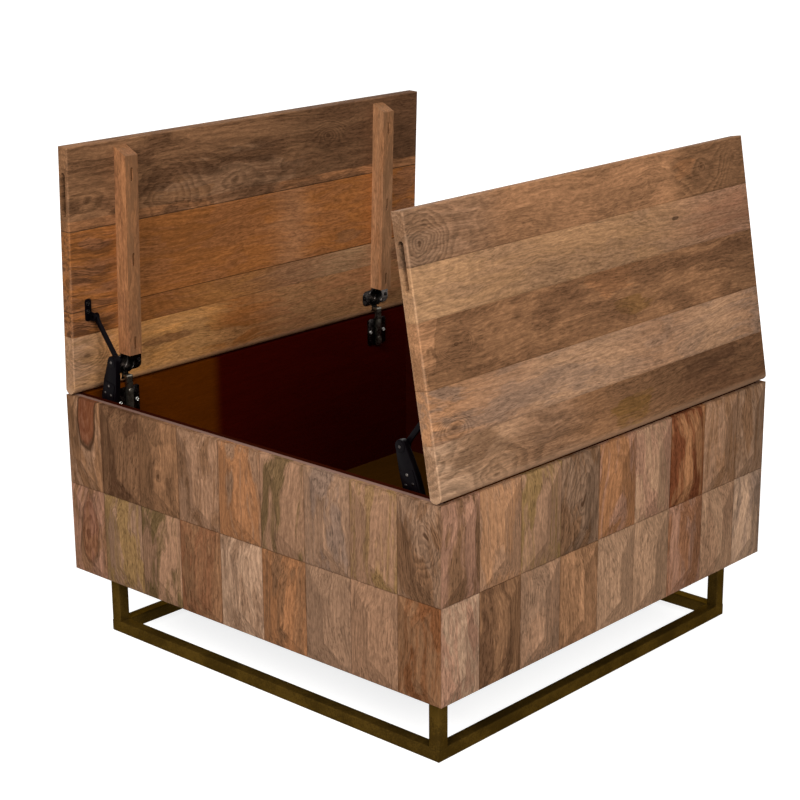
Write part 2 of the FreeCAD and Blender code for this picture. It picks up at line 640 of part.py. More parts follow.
def make_stay_link(side):
    tilt = crank_tilt(side)
    elbow_inset = f"{STAY_INSET} + {CRANK_LENGTH} * cos({tilt})"
    elbow_rise = f"{STAY_RISE} + {CRANK_LENGTH} * sin({tilt})"
    bar = bar_with_round_ends(side, "link_radius", LINK_LENGTH, *LINK_LAYER)
    elbow_bore = pivot_cutter(cylinder, side, LINK_PIVOT, "0", "0", *LINK_LAYER)
    open_bore = pivot_cutter(cylinder, side, OPEN_PIVOT, LINK_LENGTH, "0", *LINK_LAYER)
    finish(f"{side}_stay_link", cut(bar, elbow_bore, open_bore),
           side_frame(side, elbow_inset, elbow_rise, LINK_TILT))


def make_stay_bracket(side):
    low, high = layer(side, *BRACKET_LAYER)
    foot_face = f"({LID_FACE} - bracket_foot)"
    start = "(bracket_reach - lug_radius)"
    foot = box(start, f"{start} + bracket_length", low, high, foot_face, LID_FACE)
    lug_low, lug_high = layer(side, *LUG_LAYER)
    lug = box(start, "bracket_reach + lug_radius", lug_low, lug_high, f"-{PIVOT_DEPTH}", LID_FACE)
    tip = cylinder("y", "lug_radius", "bracket_reach", lug_low, f"-{PIVOT_DEPTH}", "lug_thickness")
    pin_hole = pivot_cutter(peg, side, LINK_PIVOT, "bracket_reach", f"-{PIVOT_DEPTH}", *LUG_LAYER)
    holes = [peg("z", SCREW_HOLE, x, y, f"{foot_face} - overcut", "bracket_foot + 2 * overcut")
             for x, y in bracket_screw_spots(side)]
    finish(f"{side}_stay_bracket", cut(fuse(foot, lug, tip), pin_hole, *holes), lid_frame(side))
    pin = headed_pin(side, "link_pin_radius", "bracket_reach", f"-{PIVOT_DEPTH}", LUG_LAYER[0], LINK_HEAD)
    finish(f"{side}_stay_bracket_pin", pin, lid_frame(side))


def make_lid_screws(side):
    screws = [screw("z", x, y, f"{LID_FACE} - bracket_foot", "bracket_foot", 1)
              for x, y in bracket_screw_spots(side)]
    screws += [screw("z", x, y, f"{LID_FACE} - flange_thickness", "flange_thickness", 1)
               for x, y in flange_screw_spots()]
    finish(f"{side}_lid_screws", group(screws), lid_frame(side))


for face_name in FACE_TURNS:
    make_rail(face_name)
    make_wall(face_name)
    make_cladding(face_name)
for corner_name, signs in CORNERS.items():
    make_leg(corner_name, *signs)
make_leg_plates()
make_floor()
for lid_side in SIDES:
    make_planks(lid_side)
    make_battens(lid_side)
    make_hinge_cups(lid_side)
    make_hinge_arms(lid_side)
    make_hinge_plates(lid_side)
    make_stay_mount(lid_side)
    make_stay_crank(lid_side)
    make_stay_link(lid_side)
    make_stay_bracket(lid_side)
    make_lid_screws(lid_side)
finish("hinge_plate_screws", group(placed(hinge_plate_screws(), side_frame(side)) for side in SIDES))
finish("stay_mount_screws", group(placed(mount_screws(side), side_frame(side)) for side in SIDES))
finish("stay_base_pins", group(placed([base_pin(side)], side_frame(side)) for side in SIDES))
doc.recompute()

for item in doc.Objects:
    if "Invalid" in item.State or "Error" in item.State:
        raise RuntimeError(f"{item.Name} failed: {item.State}")
for part in parts:
    if part.Shape.isNull() or not part.Shape.isValid() or not part.Shape.Solids:
        raise RuntimeError(f"{part.Label} has no valid solid")

os.makedirs("parts", exist_ok=True)
for part in parts:
    part.Shape.exportStep(f"parts/{part.Label}.step")
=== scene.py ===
import json
import math
import random
from itertools import product

import bmesh
import bpy
from mathutils import Matrix, Vector, noise


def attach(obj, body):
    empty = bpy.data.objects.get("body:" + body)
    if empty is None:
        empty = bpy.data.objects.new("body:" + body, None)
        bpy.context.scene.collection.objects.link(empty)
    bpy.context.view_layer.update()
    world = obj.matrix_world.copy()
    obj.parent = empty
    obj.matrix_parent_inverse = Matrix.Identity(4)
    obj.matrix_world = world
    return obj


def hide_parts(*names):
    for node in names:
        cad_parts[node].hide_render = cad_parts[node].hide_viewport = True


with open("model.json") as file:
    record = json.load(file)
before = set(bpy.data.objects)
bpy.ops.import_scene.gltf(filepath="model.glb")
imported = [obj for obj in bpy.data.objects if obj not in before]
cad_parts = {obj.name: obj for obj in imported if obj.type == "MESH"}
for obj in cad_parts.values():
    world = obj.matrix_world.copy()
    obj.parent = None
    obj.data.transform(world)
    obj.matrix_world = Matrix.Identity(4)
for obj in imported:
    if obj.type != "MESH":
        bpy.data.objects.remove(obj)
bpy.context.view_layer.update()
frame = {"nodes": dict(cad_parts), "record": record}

NODES = frame["nodes"]

# Sizes of the table, in metres
HALF = 0.4
BASE_TOP = 0.112
RIM = 0.409
COLUMNS = 9
ROWS = 2
BLOCK_WIDTH = 0.091
BLOCK_HEIGHT = (RIM - BASE_TOP) / ROWS
BLOCK_EDGE = 0.008
RELIEF = 0.01
HIP_RUN = 0.038
SEAM = 0.0004
EASE = 0.001
LID_HALF = 0.011
LID_REACH = 0.3885
LID_AXIS_INSET = 0.011
LID_AXIS_RISE = 0.422
LID_OPEN = {"left": math.radians(88), "right": math.radians(80)}

# Wood tones, as they look in plain light
TONES = {
    "pale": (172, 137, 109), "sand": (161, 124, 95), "tan": (150, 113, 86), "rose": (155, 113, 89),
    "honey": (158, 117, 78), "apricot": (163, 118, 84), "orange": (152, 104, 69), "amber": (150, 94, 50),
    "russet": (134, 90, 62), "rust": (112, 67, 38), "taupe": (138, 106, 82), "olive": (136, 105, 66),
    "umber": (117, 84, 59), "hazel": (135, 97, 68), "ash": (128, 103, 86), "cocoa": (94, 65, 45),
    "bark": (58, 38, 25), "moss": (100, 79, 50), "wine": (98, 48, 27), "gold": (172, 116, 66),
    "straw": (190, 134, 78), "cream": (172, 132, 96), "wheat": (160, 121, 87), "bronze": (112, 80, 42),
}


def linear(*rgb):
    """A colour given as it looks on a screen, 0 to 255, as a shader takes it."""
    parts = [v / 255 for v in rgb]
    return [v / 12.92 if v <= 0.04045 else ((v + 0.055) / 1.055) ** 2.4 for v in parts] + [1.0]


NO_TINT = (1.0, 1.0, 1.0)


def tone(name, tint=NO_TINT):
    """A wood tone for a shader, each channel times its tint."""
    return (*[share * part for share, part in zip(tint, linear(*TONES[name]))], 1.0)


class Nodes:
    """Adds nodes to a tree. An input is given as a socket, which is linked, or as a plain value."""

    def __init__(self, tree):
        self.tree = tree

    def set(self, node, inputs):
        for key, given in inputs.items():
            if isinstance(given, bpy.types.NodeSocket):
                self.tree.links.new(given, node.inputs[key])
            else:
                node.inputs[key].default_value = given

    def add(self, kind, inputs=None, **settings):
        made = self.tree.nodes.new(kind)
        for name, setting in settings.items():
            setattr(made, name, setting)
        self.set(made, inputs or {})
        return made

    def math(self, operation, *values):
        return self.add("ShaderNodeMath", dict(enumerate(values)), operation=operation).outputs[0]

    def times(self, first, second):
        return self.math("MULTIPLY", first, second)

    def minus(self, first, second):
        return self.math("SUBTRACT", first, second)

    def line(self, value, slope, start):
        """start, and slope for each unit of the value."""
        return self.math("MULTIPLY_ADD", value, slope, start)

    def vector(self, operation, *values):
        made = self.add("ShaderNodeVectorMath", dict(enumerate(values)), operation=operation)
        return made.outputs["Value" if operation in ("DOT_PRODUCT", "LENGTH") else "Vector"]

    def split(self, vector):
        return self.add("ShaderNodeSeparateXYZ", {0: vector}).outputs

    def join(self, x, y, z):
        return self.add("ShaderNodeCombineXYZ", {0: x, 1: y, 2: z}).outputs[0]

    def mix(self, factor, first, second):
        return self.add("ShaderNodeMix", {0: factor, 6: first, 7: second}, data_type="RGBA").outputs[2]

    def shade(self, colour, value):
        """A colour times a number."""
        return self.add("ShaderNodeVectorMath", {0: colour, 3: value}, operation="SCALE").outputs["Vector"]

    def noise(self, vector, stretch, detail=2.0, roughness=0.5, output="Fac"):
        inputs = {"Scale": 1.0, "Detail": detail, "Roughness": roughness}
        inputs["Vector"] = self.vector("MULTIPLY", vector, stretch)
        return self.add("ShaderNodeTexNoise", inputs).outputs[output]

    def waver(self, vector, stretch, reach, detail=2.0):
        """Noise in three channels, up to half of reach either way."""
        noise = self.noise(vector, stretch, detail, output="Color")
        return self.vector("MULTIPLY", self.vector("SUBTRACT", noise, (0.5, 0.5, 0.5)), reach)

    def span(self, value, low, high, to_low=0.0, to_high=1.0):
        """A smooth step of a value from one range to another."""
        inputs = {0: value, 1: low, 2: high, 3: to_low, 4: to_high}
        return self.add("ShaderNodeMapRange", inputs, interpolation_type="SMOOTHSTEP").outputs[0]

    def ramp(self, value, stops):
        made = self.add("ShaderNodeValToRGB", {0: value})
        made.color_ramp.interpolation = "EASE"
        elements = made.color_ramp.elements
        while len(elements) < len(stops):
            elements.new(0.5)
        for element, (place, colour) in zip(elements, stops):
            element.position = place
            element.color = colour
        return made.outputs[0]

    def bump(self, strength, distance, height):
        inputs = {"Strength": strength, "Distance": distance, "Height": height}
        return self.add("ShaderNodeBump", inputs).outputs[0]

    def attribute(self, name, output):
        return self.add("ShaderNodeAttribute", attribute_name=name).outputs[output]

    def place(self):
        """The point in the table's frame at rest."""
        return self.add("ShaderNodeTexCoord").outputs["Object"]

    def normal(self):
        """The parts of the surface's direction."""
        return self.split(self.add("ShaderNodeNewGeometry").outputs["Normal"])

    def seen(self):
        """1 on rays that show the background, from the camera or by way of a glossy or clear surface."""
        rays = self.add("ShaderNodeLightPath").outputs
        indirect = self.math("MAXIMUM", rays["Is Glossy Ray"], rays["Is Transmission Ray"])
        return self.math("MAXIMUM", rays["Is Camera Ray"], indirect)


# Growth rings: their distance, and how deep their pith lies under a board's middle. Then the relief of the grain
# and how much two finishes mirror
RING_STEP = 0.006
PITH_DEPTH = 0.06
GRAIN_BUMP = 0.35
GRAIN_DEPTH = 0.0006
SATIN = 0.01
MATT = 0.0


def make_wood_group():
    """Wood by its grain coordinates (along, across, through): streaks, growth rings, fibres and pores.

    Loop and Gap turn the rings round a knot: how far they follow it, and the distance from it."""
    tree = bpy.data.node_groups.new("wood_figure", "ShaderNodeTree")
    sockets = {
        "INPUT": {"Grain": "Vector", "Seed": "Float", "Tone": "Color", "Streak": "Color", "Figure": "Float",
                  "Loop": "Float", "Gap": "Float", "Knot": "Float"},
        "OUTPUT": {"Color": "Color", "Roughness": "Float", "Height": "Float"}}
    for way, kinds in sockets.items():
        for name, kind in kinds.items():
            tree.interface.new_socket(name, in_out=way, socket_type="NodeSocket" + kind)
    n = Nodes(tree)
    given = n.add("NodeGroupInput").outputs
    seed, figure = given["Seed"], given["Figure"]
    spot = n.vector("ADD", given["Grain"], n.shade((0.73, 0.37, 0.19), seed))
    bow = n.waver(spot, (3, 7, 7), (0.0, 0.05, 0.05), 1.0)
    sway = n.vector("ADD", bow, n.waver(spot, (14, 30, 30), (0.0, 0.012, 0.012)))
    bent = n.vector("ADD", spot, sway)
    broad = n.noise(bent, (1.7, 12, 12))
    patches = n.noise(bent, (9, 30, 30), 3.0)
    streaks = n.noise(bent, (3.5, 80, 80), 5.0, 0.62)
    lines = n.noise(bent, (11, 300, 300), 3.0, 0.6)
    mottle = n.noise(bent, (100, 420, 420), 3.0, 0.65)
    pores = n.noise(bent, (80, 560, 560), 1.0)
    # growth rings round a pith that crosses the board at a slant, or round a knot
    along, across, through = n.split(n.vector("ADD", given["Grain"], sway))
    pith_across = n.times(n.math("SINE", n.times(seed, 12.9)), 0.04)
    slant = n.times(n.math("SINE", n.times(seed, 5.3)), 0.22)
    depth = n.line(along, slant, n.math("ADD", through, PITH_DEPTH))
    radius = n.vector("LENGTH", n.join(n.minus(across, pith_across), depth, 0.0))
    radius = n.times(n.minus(radius, PITH_DEPTH), n.minus(1.0, given["Loop"]))
    radius = n.line(given["Loop"], given["Gap"], radius)
    phase = n.math("FRACT", n.line(broad, 2.5, n.math("DIVIDE", radius, RING_STEP)))
    late = n.times(n.span(phase, 0.1, 0.8), n.span(phase, 1.0, 0.86))
    ring = n.times(late, n.span(given["Loop"], 0.05, 0.5, 0.11, 0.32))

    zone_line = n.span(n.math("ABSOLUTE", n.minus(patches, 0.52)), 0.014, 0.003)
    stain = n.times(n.span(patches, 0.5, 0.58), 0.95)
    second = n.math("MAXIMUM", n.span(streaks, 0.47, 0.61, 0.0, 0.75), stain)
    second = n.times(second, figure)
    colour = n.shade(given["Tone"], n.span(broad, 0.3, 0.7, 1.16, 0.84))
    colour = n.mix(second, colour, given["Streak"])
    zone_line = n.times(zone_line, n.times(figure, 0.22))
    for darker in (zone_line, ring):
        colour = n.shade(colour, n.minus(1.0, darker))
    colour = n.shade(colour, n.span(lines, 0.3, 0.7, 0.81, 1.19))
    colour = n.shade(colour, n.span(mottle, 0.3, 0.7, 0.79, 1.2))
    dense = n.line(second, 0.4, n.span(patches, 0.35, 0.65, 0.2, 0.5))
    pore = n.times(n.span(pores, 0.54, 0.68), dense)
    colour = n.mix(pore, colour, n.shade(colour, 0.52))
    colour = n.mix(given["Knot"], colour, tone("bark"))
    rough = n.line(pore, 0.2, n.span(streaks, 0.3, 0.7, 0.5, 0.62))
    height = n.minus(n.times(lines, 0.5), n.line(late, 0.1, pore))
    n.add("NodeGroupOutput", {"Color": colour, "Roughness": rough, "Height": height})
    return tree


WOOD = make_wood_group()


def new_material(name):
    material = bpy.data.materials.new(name)
    material.use_nodes = True
    tree = material.node_tree
    return material, Nodes(tree), tree.nodes["Principled BSDF"]


def wood_surface(n, shader, finish, gloss=SATIN, **inputs):
    """Joins the wood figure, with its inputs, to a shader. finish(colour) works on the colour in between."""
    inputs = {"Loop": 0.0, "Gap": 0.1, "Knot": 0.0} | inputs
    made = n.add("ShaderNodeGroup", inputs, node_tree=WOOD).outputs
    n.set(shader, {"Base Color": finish(made["Color"]), "Roughness": made["Roughness"],
                   "Normal": n.bump(GRAIN_BUMP, GRAIN_DEPTH, made["Height"]), "Specular IOR Level": gloss})


def knot_field(n, grain, along, across, size, stretch, step=RING_STEP, wave=1.8):
    """A knot's rings, one for each step from it, its distance over its size, and how far the rings follow it."""
    parts = n.split(grain)
    offset = n.join(n.times(n.minus(parts[0], along), stretch), n.minus(parts[1], across), 0.0)
    bulge = n.times(size, wave)
    bend = n.waver(grain, (16, 32, 32), n.join(bulge, bulge, 0.0), 3.0)
    gap = n.vector("LENGTH", n.vector("ADD", offset, bend))
    share = n.math("DIVIDE", gap, size)
    loop = n.math("EXPONENT", n.times(n.math("POWER", share, 2.0), -0.3))
    return n.times(gap, RING_STEP / step), share, loop


def block_material():
    """Each block carries its own tones, seed, grain coordinates and knot as attributes."""
    material, n, shader = new_material("block_wood_figure")
    grain = n.attribute("grain", "Vector")
    heart = n.attribute("heart", "Fac")
    place = n.split(n.attribute("knot", "Vector"))
    wave = n.line(heart, -1.3, 1.8)
    gap, share, loop = knot_field(n, grain, *place, n.attribute("stretch", "Fac"), wave=wave)
    core = n.times(n.span(share, 0.22, 0.08, 0.0, 0.8), n.minus(1.0, heart))

    def finish(colour):
        inside = n.times(heart, n.span(share, 1.0, 0.9, 0.0, 0.9))
        colour = n.mix(inside, colour, n.mix(0.3, tone("wine"), n.shade(colour, 0.7)))
        outline = n.times(n.span(share, 1.1, 1.0), n.span(share, 0.86, 0.98))
        colour = n.mix(n.times(heart, n.times(outline, 0.9)), colour, tone("bark"))
        # Darker along each block's outline, in speckled patches
        outline_speckle = n.noise(grain, (60, 60, 60), 3.0)
        edge = n.span(n.attribute("rim", "Fac"), 0.0011, 0.0002)
        return n.mix(n.times(edge, n.span(outline_speckle, 0.35, 0.6, 0.1, 0.5)), colour, tone("bark"))

    wood_surface(n, shader, finish, MATT, Grain=grain, Loop=loop, Gap=gap, Knot=core,
                 Seed=n.attribute("seed", "Fac"), Figure=n.attribute("figure", "Fac"),
                 Tone=n.attribute("tone", "Color"), Streak=n.attribute("streak", "Color"))
    return material


# Tones of the blocks on each face, from left to right as seen from outside: main tone and streaks
BLOCK_TONES = {
    "front": (
        "hazel/tan cocoa/umber hazel/umber tan/umber orange/taupe tan/moss taupe/ash tan/olive taupe/umber",
        "rose/hazel taupe/olive tan/moss russet/hazel pale/taupe orange/umber taupe/taupe tan/tan hazel/rust"),
    "right": (
        "rose/umber apricot/tan tan/olive taupe/umber orange/rose sand/rose orange/wine tan/hazel taupe/umber",
        "pale/rose hazel/cocoa tan/taupe apricot/hazel sand/sand sand/sand rose/russet sand/tan pale/ash"),
    "back": (
        "tan/taupe rose/russet honey/olive taupe/moss pale/rose orange/rust umber/taupe tan/honey taupe/ash",
        "taupe/umber pale/tan russet/rust tan/ash honey/moss rose/orange pale/taupe umber/cocoa orange/tan"),
    "left": (
        "pale/rose taupe/olive orange/russet tan/ash umber/honey rose/taupe honey/moss pale/tan russet/rust",
        "tan/honey umber/cocoa rose/ash pale/taupe orange/rust taupe/moss tan/rose honey/taupe pale/ash"),
}
# The light on each face of the photo differs a little in colour
FACE_TINTS = {"front": (0.91, 0.92, 0.96), "right": (1.0, 1.04, 1.1)}
FACE_TURNS = {name: Matrix.Rotation(math.radians(degrees), 4, "Z")
              for name, degrees in {"front": 0, "right": 90, "back": 180, "left": 270}.items()}
# Knots by face, row from below and column: height over the block's foot, place across, size, how much
# narrower it is along the grain, and whether it is a tongue of heartwood
BLOCK_KNOTS = {
    ("front", 1, 0): (0.152, 0.02, 0.021, 0.26, 1), ("front", 1, 2): (0.062, 0.012, 0.014, 0.45, 0),
    ("front", 0, 0): (0.075, 0.01, 0.017, 0.28, 0.5), ("front", 0, 3): (0.03, -0.02, 0.006, 0.4, 0),
    ("front", 1, 8): (0.095, 0.022, 0.024, 0.45, 0), ("right", 1, 3): (0.085, -0.008, 0.024, 0.45, 0),
    ("back", 1, 3): (0.08, -0.01, 0.022, 0.4, 0), ("back", 0, 6): (0.145, 0.012, 0.016, 0.22, 1),
    ("left", 1, 2): (0.07, 0.01, 0.022, 0.4, 0), ("left", 0, 7): (0.0, -0.015, 0.016, 0.22, 1),
}
NO_KNOT = (9.0, 9.0, 0.01, 0.4, 0)  # far away
BLOCK_LAYERS = {"grain": "float_vector", "tone": "float_color", "streak": "float_color", "seed": "float",
                "figure": "float", "rim": "float", "heart": "float", "stretch": "float", "knot": "float_vector"}


def block_span(column):
    left = -HALF if column == 0 else (column - COLUMNS / 2) * BLOCK_WIDTH
    right = HALF if column == COLUMNS - 1 else (column + 1 - COLUMNS / 2) * BLOCK_WIDTH
    return left + SEAM / 2, right - SEAM / 2


HIP_STEPS = 7
MIDDLE_STEPS = 4


def block_line(low, high, up, down, top):
    """Places along a mesh line of a block, each with the share of the full rise that its slopes allow there.

    The line rises over a length of up, has the places at the top, and falls over a length of down."""
    shares = [i / HIP_STEPS for i in range(HIP_STEPS)]
    return ([(low, None)] + [(low + EASE + up * share, share) for share in shares]
            + [(place, 1.0) for place in top]
            + [(high - EASE - down * share, share) for share in reversed(shares)] + [(high, None)])


def add_block(mesh, column, row, chance):
    """One hipped block in the face's frame (x along, -y out, z up). Returns its outline and its face vertices."""
    x0, x1 = block_span(column)
    z0 = BASE_TOP if row == 0 else BASE_TOP + row * BLOCK_HEIGHT + SEAM / 2
    z1 = RIM if row == ROWS - 1 else BASE_TOP + (row + 1) * BLOCK_HEIGHT - SEAM / 2
    middle = (x0 + x1) / 2 + chance.uniform(-0.003, 0.003)
    crest = RELIEF - chance.uniform(0.0002, 0.001)
    turn = chance.uniform(0, 9)
    lines, on_hip, on_rim = [], {}, {}
    flat = (z1 - z0 - 2 * (EASE + HIP_RUN)) / MIDDLE_STEPS
    top = [z0 + EASE + HIP_RUN + flat * i for i in range(MIDDLE_STEPS + 1)]
    for z, end in block_line(z0, z1, HIP_RUN, HIP_RUN, top):
        line = []
        ridge = middle + 0.0008 * math.sin(turn + z * 40)
        for x, side in block_line(x0, x1, ridge - x0 - EASE, x1 - EASE - ridge, [ridge]):
            outline = end is None or side is None
            share = 0.0 if outline else min(end, side)
            rise = crest * share + 0.0003 * min(3 * share, 1.0) * noise.noise(Vector((x * 30, turn, z * 22)))
            vert = mesh.verts.new((x, -HALF - (-EASE / 2 if outline else rise), z))
            on_hip[vert] = not outline and end == side
            on_rim[vert] = not outline and share == 0.0
            line.append(vert)
        lines.append(line)
    for low, high in zip(lines, lines[1:]):
        for i in range(len(low) - 1):
            a, b, c, d = low[i], low[i + 1], high[i + 1], high[i]
            if on_hip[a] and on_hip[c]:
                cells = ((a, b, c), (a, c, d))
            elif on_hip[b] and on_hip[d]:
                cells = ((a, b, d), (b, c, d))
            else:
                cells = ((a, b, c, d),)
            for cell in cells:
                mesh.faces.new(cell).smooth = True
    for edge in mesh.edges:
        edge.smooth = not any(all(on[v] for v in edge.verts) for on in (on_hip, on_rim))
    face = set(mesh.verts)
    back0 = x0 + BLOCK_EDGE if column == 0 else x0
    back1 = x1 - BLOCK_EDGE if column == COLUMNS - 1 else x1
    back = [mesh.verts.new((x, -HALF + BLOCK_EDGE, z))
            for x, z in ((back0, z0), (back1, z0), (back1, z1), (back0, z1))]
    sides = (lines[0], [line[-1] for line in lines], lines[-1][::-1], [line[0] for line in reversed(lines)])
    for i, side in enumerate(sides):
        edge = [mesh.verts.new(vert.co) for vert in side]
        mesh.faces.new([back[i], back[(i + 1) % 4]] + edge[::-1])
    mesh.faces.new(back[::-1])
    return (x0, x1, z0, z1), face


def new_object(name, data):
    made = bpy.data.objects.new(name, data)
    bpy.context.scene.collection.objects.link(made)
    return made


def new_mesh(name, mesh, material):
    data = bpy.data.meshes.new(name)
    mesh.to_mesh(data)
    mesh.free()
    data.materials.append(material)
    return new_object(name, data)


def mesh_object(name, mesh, material, body, replaced):
    """Finishes a piece: it rides on a body, takes a material and may stand for CAD nodes."""
    piece = new_mesh(name, mesh, material)
    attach(piece, body)
    if replaced:
        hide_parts(*replaced)
    return piece


def make_cladding(face, material):
    chance = random.Random(face)
    words = [row.split() for row in BLOCK_TONES[face]]
    tint = FACE_TINTS.get(face, NO_TINT)
    mesh = bmesh.new()
    layers = {name: getattr(mesh.verts.layers, kind).new(name) for name, kind in BLOCK_LAYERS.items()}
    turn = FACE_TURNS[face]
    for row, column in product(range(ROWS), range(COLUMNS)):
        block = bmesh.new()
        (x0, x1, z0, z1), face_verts = add_block(block, column, row, chance)
        main, streak = words[ROWS - 1 - row][column].split("/")
        seed = chance.uniform(0, 9)
        lean = chance.uniform(-0.08, 0.08)
        strength = chance.uniform(0.8, 1.0)
        knot = BLOCK_KNOTS.get((face, row, column), NO_KNOT)
        same = {"tone": tone(main, tint), "streak": tone(streak, tint), "seed": seed, "figure": strength,
                "knot": knot[:3], "stretch": knot[3], "heart": knot[4]}
        copies = {}
        for vert in block.verts:
            x, y, z = vert.co
            across = x - (x0 + x1) / 2
            copy = mesh.verts.new(turn @ vert.co)
            copy[layers["grain"]] = (z - z0 - lean * across, across + lean * (z - z0), y + HALF)
            copy[layers["rim"]] = min(x - x0, x1 - x, z - z0, z1 - z) if vert in face_verts else BLOCK_EDGE
            for name, given in same.items():
                copy[layers[name]] = given
            copies[vert] = copy
        for polygon in block.faces:
            mesh.faces.new([copies[v] for v in polygon.verts]).smooth = polygon.smooth
        for line in block.edges:
            mesh.edges.get([copies[v] for v in line.verts]).smooth = line.smooth
        block.free()
    mesh_object(f"cladding_{face}_blocks", mesh, material, "trunk", [f"cladding_{face}"])


BLOCK_WOOD = block_material()
for face_name in FACE_TURNS:
    make_cladding(face_name, BLOCK_WOOD)


# Lids
def lid_axes(side):
    """A point on the lid's hinge axis, its direction to the free edge and the one out of its outer face."""
    sign = -1 if side == "left" else 1
    tilt = LID_OPEN[side]
    origin = Vector((sign * (HALF - LID_AXIS_INSET), 0, LID_AXIS_RISE))
    along = Vector((-sign * math.cos(tilt), 0, math.sin(tilt)))
    out = Vector((sign * math.sin(tilt), 0, math.cos(tilt)))
    return origin, along, out


def lid_place(n, side):
    """A point's distance from the hinge axis towards the free edge, its y, and its height over mid-lid."""
    origin, along, out = lid_axes(side)
    spot = n.place()
    away = n.vector("SUBTRACT", spot, origin)
    return n.vector("DOT_PRODUCT", away, along), n.split(spot)[1], n.vector("DOT_PRODUCT", away, out)


# Each plank from the free edge on: tones with their places from front to back, streaks, how strong they are in
# the middle and at the ends, and seed. Some have knots (y, distance from the axis, size, stretch, ring step),
# stains (y, distance from the axis, size, stretch, tone, strength), bands of other wood (from, to, tone), a cap
# of sapwood at the front end (y, tone), or dark stripes there (strength)
PLANKS = {
    "left": (
        ("hazel@0.45 umber@0.7 cocoa@1", "cocoa", (0.8, 0.6), 1.3,
         {"knots": ((-0.05, 0.29, 0.03, 0.5, 0.007), (0.17, 0.335, 0.014, 0.6, 0.006),
                    (-0.37, 0.3, 0.04, 0.5, 0.008)),
          "stains": ((-0.05, 0.285, 0.05, 0.4, "taupe", 0.4),), "bands": ((0.2545, 0.27, "orange"),)}),
        ("amber@0.5 orange@0.6 amber@0.7", "russet", (0.35, 0.8), 2.9,
         {"stains": ((0.22, 0.15, 0.012, 0.25, "umber", 0.5),), "stripes": 0.55}),
        ("amber@0.2 gold@0.45 apricot@0.6 cream@0.8 apricot@1", "russet", (0.35, 0.8), 4.4, {"stripes": 0.7}),
        ("sand@0 straw@0.16 straw@0.32 amber@0.44 orange@0.6", "honey", (0.5, 0.6), 6.1,
         {"knots": ((-0.37, 0.05, 0.012, 0.5, 0.008),), "stains": ((-0.19, 0.045, 0.007, 0.12, "rust", 0.8),)}),
    ),
    "right": (
        ("taupe@0 tan@0.15 apricot@0.28 apricot@0.72 hazel@0.8 umber@1", "umber", (0.45, 0.5), 1.9,
         {"knots": ((-0.375, 0.34, 0.034, 0.8, 0.006), (0.28, 0.35, 0.026, 0.8, 0.007)),
          "stains": ((0.3, 0.35, 0.04, 0.7, "umber", 0.5), (0.235, 0.355, 0.016, 0.6, "orange", 0.7))}),
        ("cream@0 wheat@0.25 wheat@0.6 rose@1", "taupe", (0.45, 0.4), 3.1,
         {"stains": ((0.2, 0.285, 0.003, 0.35, "bark", 0.9), (0.33, 0.27, 0.03, 0.3, "russet", 0.35))}),
        ("hazel@0.85 umber@1", "cocoa", (0.6, 0.5), 5.7,
         {"knots": ((-0.33, 0.195, 0.01, 0.6, 0.008),), "cap": (-0.372, "apricot"),
          "stains": ((-0.09, 0.215, 0.02, 0.3, "cocoa", 0.5), (0.08, 0.175, 0.016, 0.3, "bronze", 0.6),
                     (0.02, 0.22, 0.02, 0.3, "orange", 0.6), (0.3, 0.215, 0.012, 0.12, "cocoa", 0.6))}),
        ("apricot@0 tan@0.2 sand@0.35 sand@0.5 tan@0.65 sand@0.85 tan@1", "ash", (0.45, 0.8), 7.3,
         {"knots": ((-0.355, 0.085, 0.009, 0.5, 0.008),), "stains": ((-0.18, 0.1, 0.022, 0.18, "ash", 0.5),)}),
        ("pale@0 sand@0.15 tan@0.3 hazel@0.45 umber@0.56 cocoa@0.8", "umber", (0.5, 0.5), 8.8,
         {"knots": ((-0.27, 0.005, 0.05, 0.55, 0.008),),
          "stains": ((0.05, 0.025, 0.026, 0.45, "bronze", 0.8), (0.24, 0.045, 0.014, 0.15, "bark", 0.35))}),
    ),
}
# How pale the eased edges of a lid are, partly wear and partly a painted highlight, and its glue lines as
# (distance from the axis, strength)
EDGE_WEAR_AND_HIGHLIGHT = {"left": 0.12, "right": 0.28}
JOINT_LINES = {"left": ((0.2545, 0.8), (0.1245, 0.8), (0.0845, 0.25)),
               "right": ((0.312, 0.3), (0.238, 0.3), (0.145, 0.3), (0.07, 0.3))}


def lid_edge(n, reach, y, height):
    """1 along the eased edges of a lid, 0 away from them."""
    end = n.minus(HALF, n.math("ABSOLUTE", y))
    side = n.minus(LID_HALF, n.math("ABSOLUTE", height))
    free = n.minus(LID_REACH, reach)
    near = n.math("MINIMUM", n.math("ADD", end, side), n.math("ADD", free, side))
    near = n.math("MINIMUM", near, n.math("ADD", end, free))
    return n.span(near, 0.004, 0.0015)


